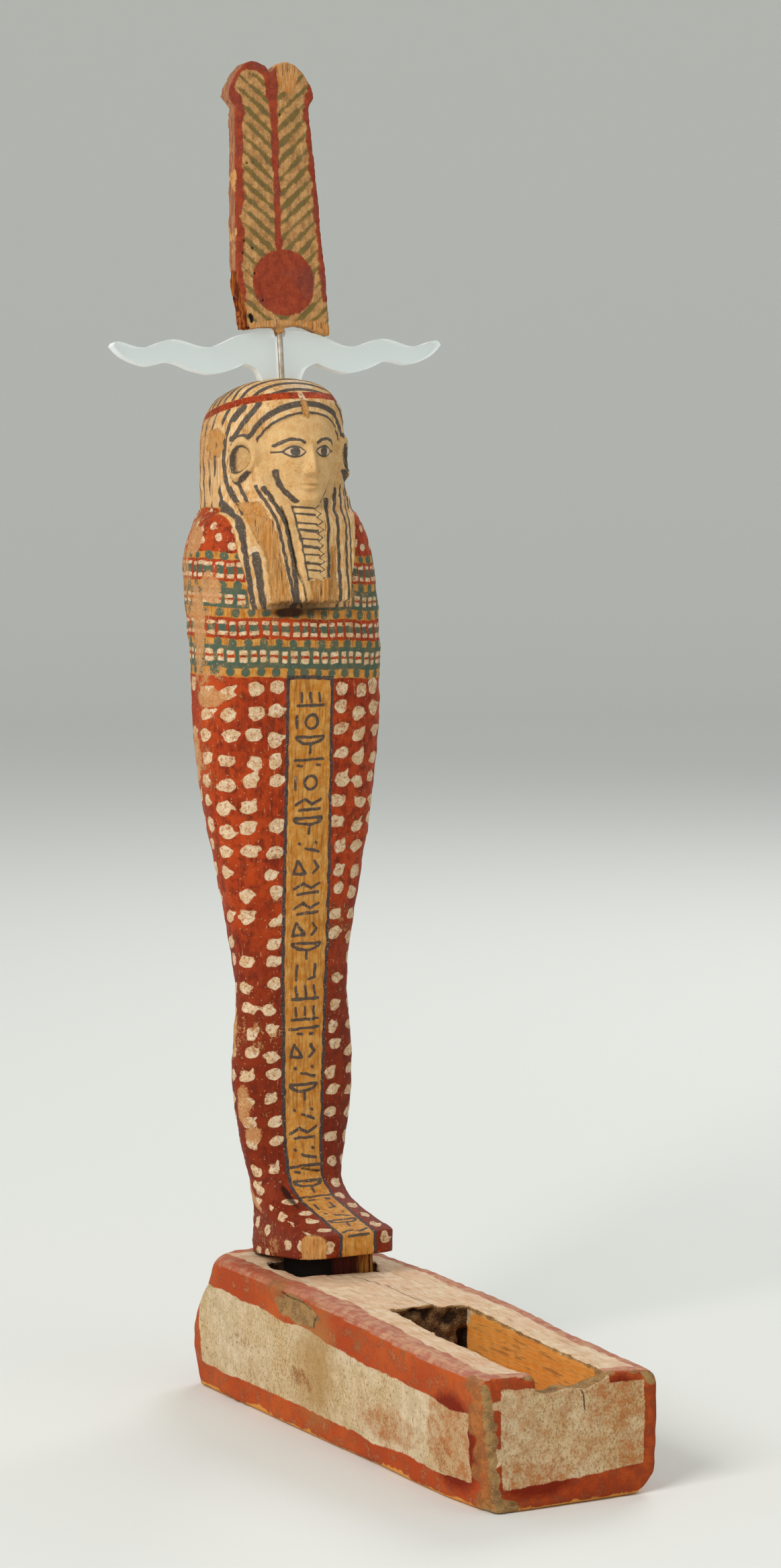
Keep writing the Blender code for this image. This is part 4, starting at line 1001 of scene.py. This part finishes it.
def make_tenon(mat):
    """The dark block below the feet that stands in the socket."""
    sides, steps = 48, 14
    middle = FIGURE_Y - 0.33 * FOOT_LENGTH - TENON_THICKNESS / 2
    turns = np.linspace(0, 2 * math.pi, sides, endpoint=False)
    side, ahead = np.sin(turns), np.cos(turns)
    reach = 1.0 / (side**8 + ahead**8) ** 0.125
    ring = np.stack([0.5 * TENON_WIDTH * side * reach, middle - 0.5 * TENON_THICKNESS * ahead * reach,
                     0.0 * turns], axis=-1)
    levels = np.linspace(FIGURE_LOW.z, FIGURE_Z + 7.0, steps + 1)
    points = np.concatenate([ring + (0.0, 0.0, level) for level in levels])
    out = (points - (0.0, middle, 0.0)) * (1.0, 1.0, 0.0)
    out /= np.linalg.norm(out, axis=1, keepdims=True)
    points = points - out * (0.3 + 0.25 * rough(points, 2.0, 3, stretch=(1, 1, 6)))[:, None]
    faces = [tuple(f) for f in grid_faces(steps + 1, sides)]
    faces.append(tuple(range(sides - 1, -1, -1)))
    faces.append(tuple(range(steps * sides, (steps + 1) * sides)))
    tenon = mesh_from("figure_tenon", points, faces, [mat])
    keep_fields(tenon, split=points[:, 0] - 7.0, dirt=-6.0 - points[:, 0])
    return tenon


# Plinth

def remeshed(node, voxel):
    """Points, faces and normals of a CAD node made into a fine even mesh."""
    holder = linked(bpy.data.objects.new("remesh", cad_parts[node].data.copy()))
    step = holder.modifiers.new("fine", "REMESH")
    step.mode = "VOXEL"
    step.voxel_size = voxel * MM
    depsgraph = bpy.context.evaluated_depsgraph_get()
    mesh = bpy.data.meshes.new_from_object(holder.evaluated_get(depsgraph))
    bpy.data.objects.remove(holder)
    points = np.empty(len(mesh.vertices) * 3)
    mesh.vertices.foreach_get("co", points)
    normals = np.empty(len(mesh.vertices) * 3)
    mesh.vertices.foreach_get("normal", normals)
    faces = [tuple(p.vertices) for p in mesh.polygons]
    bpy.data.meshes.remove(mesh)
    return points.reshape(-1, 3) / MM, faces, normals.reshape(-1, 3)


# The plinth's top at its front, with its rise to the rear and its fall to the figure's left
PLINTH_TOP, TOP_RISE, RISE_LENGTH, TOP_FALL = 62.0, 7.0, 188.0, 5.0
CAVITY_HALF, CAVITY_WALL, CAVITY_END = 20.9, 8.0, -12.0
SOCKET_FRONT, SOCKET_REAR = 60.0, 122.0
# Share of the normal that points up where the top's paint begins
FLAT = 0.62
PLINTH_VOXEL, PLUME_VOXEL = 1.2, 0.7

# Stains on the plinth's front, at (across, height) with half sizes, and splits in its side
FRONT_STAINS = (((-18.0, 14.0), (20.0, 9.0)), ((24.0, 44.0), (15.0, 12.0)), ((30.0, 22.0), (8.0, 9.0)))
SIDE_SPLITS = (
    (((8.0, 60.5), (12.0, 57.5), (11.0, 54.5)), 0.6),
    (((44.0, 66.0), (34.0, 64.4), (24.0, 64.6), (14.0, 62.8)), 0.4),
)


def make_plinth(mat):
    """The box: whitewash with red borders, a worn corner, a knot scar, the cavity and the socket."""
    points, faces, normals = remeshed("plinth", PLINTH_VOXEL)
    x, y, z = points.T
    nx, ny, nz = normals.T
    front, rear = PLINTH_LOW.y, PLINTH_HIGH.y
    half = PLINTH_HIGH.x
    rise = TOP_RISE * smooth(front, front + RISE_LENGTH, y)
    top = PLINTH_TOP + rise - TOP_FALL * (x / (2.0 * half) + 0.5)
    below = top - z
    hollow = (np.abs(x) < CAVITY_HALF) & (y > front + CAVITY_WALL) & (y < CAVITY_END)
    hollow = hollow & (((below > 1.2) & (np.abs(nz) < 0.75)) | ((z > 5.0) & (z < 40.0)))
    end_wall = hollow & (y > CAVITY_END - 12.0) & (ny < -0.2)
    socket = (np.abs(x) < np.where(z > 40.0, 32.0, 28.0)) & (y > SOCKET_FRONT) & (y < SOCKET_REAR)
    socket = socket & (below > 0.7) & (z > 20.0)
    lip = (y < front + 12.0) & (np.abs(x - 1.5) < 20.5) & (z > 50.0) & (below > 0.8) & (ny > -0.5)
    shell = (np.abs(x) > 36.0) | (y < front + 4.0) | (y > rear - 12.0)
    left, right = x < -30.0, x > 30.0
    on_front = (ny < -0.5) & (y < front + 4.6)
    under = nz < -0.6

    lean = np.where(on_front, 0.0, np.clip(nz, 0.0, 1.0))
    wave = 0.6 * rough(points, 22.0, 2) + 0.35 * rough(points, 4.0, 3)
    side_high = 14.5 + 4.0 * smooth(130.0, -20.0, y)
    side_red = union(12.5 + 1.2 * np.sin(0.021 * y) + wave - z, side_high + wave - below,
                     y - (rear - 15.0), front + 15.0 + 2.0 * wave - y)
    strip_gap = union(blob(x, z, (-37.0, 49.5), (4.5, 2.2)), blob(x, z, (-39.5, 26.0), (4.6, 4.6)))
    front_red = union(10.0 + 0.05 * (x + 45.0) + wave * 0.6 - z, x - 37.8 + wave * 0.5,
                      overlap(-35.6 - x + wave * 0.6, -strip_gap),
                      overlap(np.abs(x - 1.0) - 19.0, 5.4 + wave * 0.5 - below))
    inset = np.where(x < 0.0, 12.0 - 3.0 * smooth(-40.0, -130.0, y), 9.0) + 1.5 * wave
    top_red = union(inset - (half - np.abs(x)), front + 8.0 - y, y - 128.0)
    red = np.where(lean > FLAT, top_red, np.where(on_front, front_red, only(shell, side_red)))
    red = only(~(hollow | socket | lip | under), red)
    rose = np.where(lean > 0.35, 3.0 * smooth(60.0, -20.0, np.where(x < 0.0, y, -60.0)), -3.0)

    foot = 2.0 + 1.6 * rough(points, 17.0, 12) + 0.8 * rough(points, 4.0, 13) - z
    bare = only((left | right | (ny > 0.5)) & ~on_front, foot)
    bare = np.where(on_front, 1.4 + 0.8 * rough(points, 5.0, 14) - z, bare)
    bare = np.where(hollow | under, 4.0, bare)
    corner = -38.6 - 7.3 * np.clip(z / PLINTH_TOP, 0.0, 1.0)
    knot = only(left, blob(y - 0.6 * (z - 58.0), z, (27.0, 59.5), (22.0, 6.4)))
    knot = knot + 0.5 * rough(points, 5.0, 18)
    foot_corner = 13.0 - np.sqrt((x + 41.0) ** 2 + (y - front) ** 2 + (1.7 * z) ** 2)
    foot_corner = foot_corner + 1.5 * rough(points, 4.0, 24)
    worn = union(
        only((y < front + 5.0) & left & (ny < -0.3) & (z > 3.0) & (z < 59.5),
             corner + 3.9 + 1.1 * rough(points, 4.0, 15) - x),
        only(lip, 3.0),
        only((lean < 0.92) & (below < 3.0) & (np.abs(x) < 24.0) & (y < -8.0), 1.2 - 0.6 * below),
        only(on_front & (x > 16.0), 1.4 + 0.7 * rough(points, 4.0, 19) - below),
        only(on_front, blob(x, below, (42.0, 1.0), (5.0, 6.5))),
        only(left & (lean < 0.9),
             rough(points, 7.0, 16, stretch=(1.0, 2.0, 1.0)) * 2.0 - 2.6 - 0.3 * below),
        knot, foot_corner)
    rubbed = union(
        only(left & (nx < -0.4), 12.0 + 5.0 * rough(points, 6.0, 22) + front - y) * 0.25,
        only(shell & (z > 4.0), 1.5 * rough(points, 13.0, 23, stretch=(1.0, 1.6, 1.0)) - 2.6))
    rubbed = only(~(hollow | socket | under | on_front), rubbed)
    broken = union(only(end_wall, 4.0), only(socket, 3.0))
    rotted = rough(points, 4.0, 21, stretch=(2.0, 1.0, 1.0))
    # Near black deep in the socket as painted shade in its recess, rot on the cavity's end wall, and the
    # splits in the left side.
    dirt = union(only(socket, 46.0 + 3.0 * rough(points, 5.0, 17) - z), only(end_wall, rotted * 1.6 - 0.9),
                 only(left, stripes_of(SIDE_SPLITS, y, z)))
    line = through(((-20.0, 5.6), (8.0, 2.5), (30.0, 3.5), (58.0, -1.0)), y)
    front_line = through(((42.0, 7.0), (49.0, 6.4), (55.0, 3.0)), z)
    crack = x - np.where(on_front, front_line, line)
    past = np.where(on_front, np.maximum(43.0 - z, 0.0), union(y - 56.0, -18.0 - y, 0.0))
    cracked = only(~hollow & ~socket & (on_front | (lean > 0.6)), 0.5 - past)
    stain = only(left & (nx < -0.5), 0.5 * blob(y + 0.12 * z, z, (15.0, 36.0), (17.0, 26.0)))
    # Brown stains on the front and the left side, and over the whole front a painted shade.
    rust = union(only(on_front, union(-0.9, *(blob(x, z, *place) for place in FRONT_STAINS))),
                 only(left, union(blob(y, z, (-122.0, 28.0), (22.0, 22.0)),
                                  blob(y, z, (-60.0, 22.0), (30.0, 10.0)) - 2.0)))

    dent = 0.35 * rough(points, 30.0, 6) + 0.20 * rough(points, 5.0, 7)
    dent = dent - 1.1 * smooth(-1.0, 2.5, broken) * (0.5 + 0.6 * rough(points, 3.0, 8, stretch=(1, 2, 1)))
    dent = dent - np.where(end_wall, 1.2 * rotted + 0.5, 0.0)
    dent = dent - 0.7 * smooth(-0.5, 1.0, worn) * (0.5 + 0.6 * rough(points, 3.0, 9))
    dent = dent - 1.0 * smooth(-1.0, 3.0, np.maximum(knot, foot_corner))
    dent = np.where(under, 0.0, dent)
    dent = np.where(z < 1.5, np.minimum(dent, 0.0), dent)
    points = points + normals * dent[:, None]
    points[:, 2] = np.maximum(points[:, 2], 0.0)
    plinth = mesh_from("plinth_box", points, faces, [mat])
    keep_fields(plinth, top=(lean - FLAT) * 12.0, red=red, rose=rose, bare=bare, worn=worn, broken=broken,
                rubbed=rubbed, dirt=dirt, crack=crack, cracked=cracked, stain=stain, rust=rust)
    return plinth


# Crown

CROWN = Matrix.Translation((CROWN_X, CROWN_Y, CROWN_Z)) @ Matrix.Rotation(-CROWN_LEAN, 4, "X")
# Small holes in the feathers, painted near black as the shade inside them: (across, height)
HOLES = ((-15.5, 80.0), (-19.0, 42.0), (-14.8, 38.5), (-14.5, 26.0), (-20.0, 36.0), (4.0, 104.0),
         (-10.8, 12.8))
BARB_PITCH = 7.5


def in_crown(points):
    """Points in the crown's own frame."""
    inverse = np.array(CROWN.inverted())
    return points @ inverse[:3, :3].T + inverse[:3, 3]


def make_plume(mat):
    """The pair of feathers with the disc at their foot."""
    points, faces, normals = remeshed("plume_crown", PLUME_VOXEL)
    a = in_crown(points)
    x, up = a[:, 0] - 1.0, a[:, 2] - PLUME_FOOT
    ahead = -(normals @ np.array(CROWN)[:3, :3][:, 1])
    half = through(((0.0, 25.3), (28.0, 24.9), (94.0, 21.7), (111.0, 20.8), (116.0, 24.0),
                    (131.0, 22.0)), up)
    edge = half - np.abs(x)
    left = x < 0.0
    wave = 0.7 * rough(points, 7.0, 2) + 0.4 * rough(points, 2.0, 7)
    border = np.where(left, 4.9, 3.7) + wave - edge
    middle = through(((30.0, 1.7), (90.0, 1.9), (115.0, 2.6), (128.0, 3.6)), up)
    middle = middle + 0.5 * wave - np.abs(x + 0.8 - 0.016 * (up - 20.0))
    disc = ellipse_depth(x - 1.2, up - 21.5, 17.2, 16.2) + 0.3 * wave
    lobe = np.hypot(x + 11.0, (up - 116.0) * 0.8)
    tip = only(left & (up > 112.0), lobe - 8.2 + 0.5 * wave)
    red = union(only(up > 12.0, border), only(up > 30.0, middle), disc, tip)
    rise = (up - 0.86 * np.abs(x)) / BARB_PITCH + 0.08 * np.sin(0.11 * up)
    barb = 1.25 - np.abs((rise % 1.0) - 0.5) * BARB_PITCH * 0.76
    barb = barb - 0.5 * bump(edge, 5.0, 4.0) + 0.4 * wave
    torn = only(left, 30.0 - up - edge * 4.6 + 3.0 * wave)
    bare = union(only(~left, blob(x, up, (8.9, 124.5), (5.8, 9.5))),
                 only(left & (edge < 1.6) & (up < 96.0), 1.4 * wave - 0.8), 2.2 + 1.2 * wave - up,
                 only(ahead < -0.5, 2.0 + 2.0 * rough(points, 14.0, 5)))
    holes = only(ahead > 0.3, union(*(0.6 - np.hypot(x - across, up - level) for across, level in HOLES)))
    # Near black: painted shade in the holes, and a dark mark near the foot.
    dirt = union(holes, blob(x + 0.3 * up, up, (-16.2, 4.2), (1.3, 3.4)) + 0.5 * rough(points, 1.6, 8))
    dent = 0.22 * rough(points, 9.0, 3) + 0.12 * rough(points, 2.2, 4)
    dent = dent - smooth(-0.5, 2.0, torn) * (0.6 + 0.7 * rough(points, 1.6, 6, stretch=(1, 1, 6)))
    dent = dent - 0.9 * smooth(-0.2, 0.4, dirt)
    points = points + normals * dent[:, None]
    plume = mesh_from("plume_feathers", points, faces, [mat])
    keep_fields(plume, red=red, green=overlap(barb, 124.0 - up), side=(0.55 - ahead) * 6.0, bare=bare,
                torn=torn, dirt=dirt)
    return plume


def make_horns(mats):
    """The clear sheet with softened edges, its rim in a brighter finish."""
    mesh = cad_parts["horn_plate"].data.copy()
    horns = linked(bpy.data.objects.new("clear_horns", mesh))
    mesh.materials.clear()
    for mat in mats:
        mesh.materials.append(mat)
    ahead = Vector(np.array(CROWN)[:3, 1])
    for face in mesh.polygons:
        face.material_index = 0 if abs(face.normal.dot(ahead)) > 0.8 else 1
        face.use_smooth = False
    weld = horns.modifiers.new("weld", "WELD")
    weld.merge_threshold = 0.00002
    bevel = horns.modifiers.new("soft_edges", "BEVEL")
    bevel.width = 0.5 * MM
    bevel.segments = 2
    bevel.limit_method = "ANGLE"
    bevel.angle_limit = math.radians(50)
    return horns


# Stage

def area_light(name, place, size, power, colour):
    """A square soft light that points at the middle of the figure."""
    data = bpy.data.lights.new(name, "AREA")
    data.shape = "RECTANGLE"
    data.size = data.size_y = size
    data.energy = power
    data.color = colour
    light = linked(bpy.data.objects.new(name, data))
    light.location = place
    way = Vector(LIT_PLACE) - Vector(place)
    light.rotation_euler = way.to_track_quat("-Z", "Y").to_euler()


# The floor is a wide flat dish whose rim rises all round, in metres
FLOOR_REACH = 4.5
FLOOR_BEND = 1.6
FLOOR_WALL = 2.4
FLOOR_SIDES = 96
LIT_PLACE = (0.0, 0.06, 0.32)


def make_stage():
    p = Paint("pale_floor")
    p.set("Base Color", "e9e9e4")
    p.set("Roughness", 0.9)
    turns = np.linspace(0, 2 * math.pi, FLOOR_SIDES, endpoint=False)
    profile = [(0.5, 0.0), (FLOOR_REACH, 0.0)]
    for angle in np.linspace(0, math.pi / 2, 10)[1:]:
        profile.append((FLOOR_REACH + FLOOR_BEND * math.sin(angle), FLOOR_BEND * (1.0 - math.cos(angle))))
    profile.append((FLOOR_REACH + FLOOR_BEND, FLOOR_WALL))
    points = [(reach * math.cos(turn) / MM, reach * math.sin(turn) / MM, level / MM - 0.02)
              for reach, level in profile for turn in turns]
    faces = [tuple(f[::-1]) for f in grid_faces(len(profile), FLOOR_SIDES)] + [tuple(range(FLOOR_SIDES))]
    mesh_from("floor", points, faces, [p.material])
    area_light("key", (-2.5, -1.1, 2.1), 1.5, 70.0, (1.0, 0.98, 0.95))
    area_light("fill", (1.2, -2.2, 1.5), 1.8, 6.0, (0.97, 0.98, 1.0))
    area_light("rim", (1.6, 1.4, 1.9), 1.2, 20.0, (1.0, 1.0, 1.0))
    world = bpy.data.worlds.new("studio")
    world.use_nodes = True
    sky = world.node_tree.nodes["Background"].inputs
    sky["Color"].default_value = rgb("dfe4e4")
    sky["Strength"].default_value = 0.62
    bpy.context.scene.world = world
    bpy.context.scene.view_settings.view_transform = "Standard"


CAMERA_TURN = math.radians(-28.1193)
CAMERA_PITCH = math.radians(5.2258)
CAMERA_ROLL = math.radians(-0.5536)
CAMERA_PLACE = (-0.94833, -1.76111, 0.49455)
FOCAL_PIXELS = 6356.3
IMAGE_HEIGHT = 2336


def make_camera():
    data = bpy.data.cameras.new("camera")
    data.sensor_fit = "VERTICAL"
    data.sensor_height = 36.0
    data.lens = FOCAL_PIXELS / IMAGE_HEIGHT * data.sensor_height
    data.clip_start = 0.05
    camera = linked(bpy.data.objects.new("camera", data))
    turn = Matrix.Rotation(CAMERA_TURN, 4, "Z")
    tilt = Matrix.Rotation(math.pi / 2 - CAMERA_PITCH, 4, "X")
    roll = Matrix.Rotation(CAMERA_ROLL, 4, "Z")
    camera.matrix_world = Matrix.Translation(CAMERA_PLACE) @ turn @ tilt @ roll
    bpy.context.scene.camera = camera


def main():
    make_camera()
    make_stage()
    paint = [figure_material()]
    body = make_figure_piece("figure_body", 0.0, SEAM, BODY_SPACING, paint)
    head = make_figure_piece("figure_head", SEAM, TOP_STATION, HEAD_SPACING, paint)
    pieces = [
        (body, "figure", "figure_paint"),
        (head, "figure", "figure_paint"),
        (make_tenon(tenon_material()), "figure", "figure_paint"),
        (make_plinth(plinth_material()), "plinth", "plinth_wood"),
        (make_plume(plume_material()), "plume_crown", "plume_paint"),
        (make_horns([sheet_material("clear_sheet", "eef6f5", 0.38),
                     sheet_material("clear_rim", "f6fbfb", 0.85)]), "horn_plate", "clear_plastic"),
    ]
    for piece, node, slot in pieces:
        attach(piece, "root")
        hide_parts(node)
    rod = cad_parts["crown_rod"]
    rod.data.materials.clear()
    rod.data.materials.append(rod_material())


main()
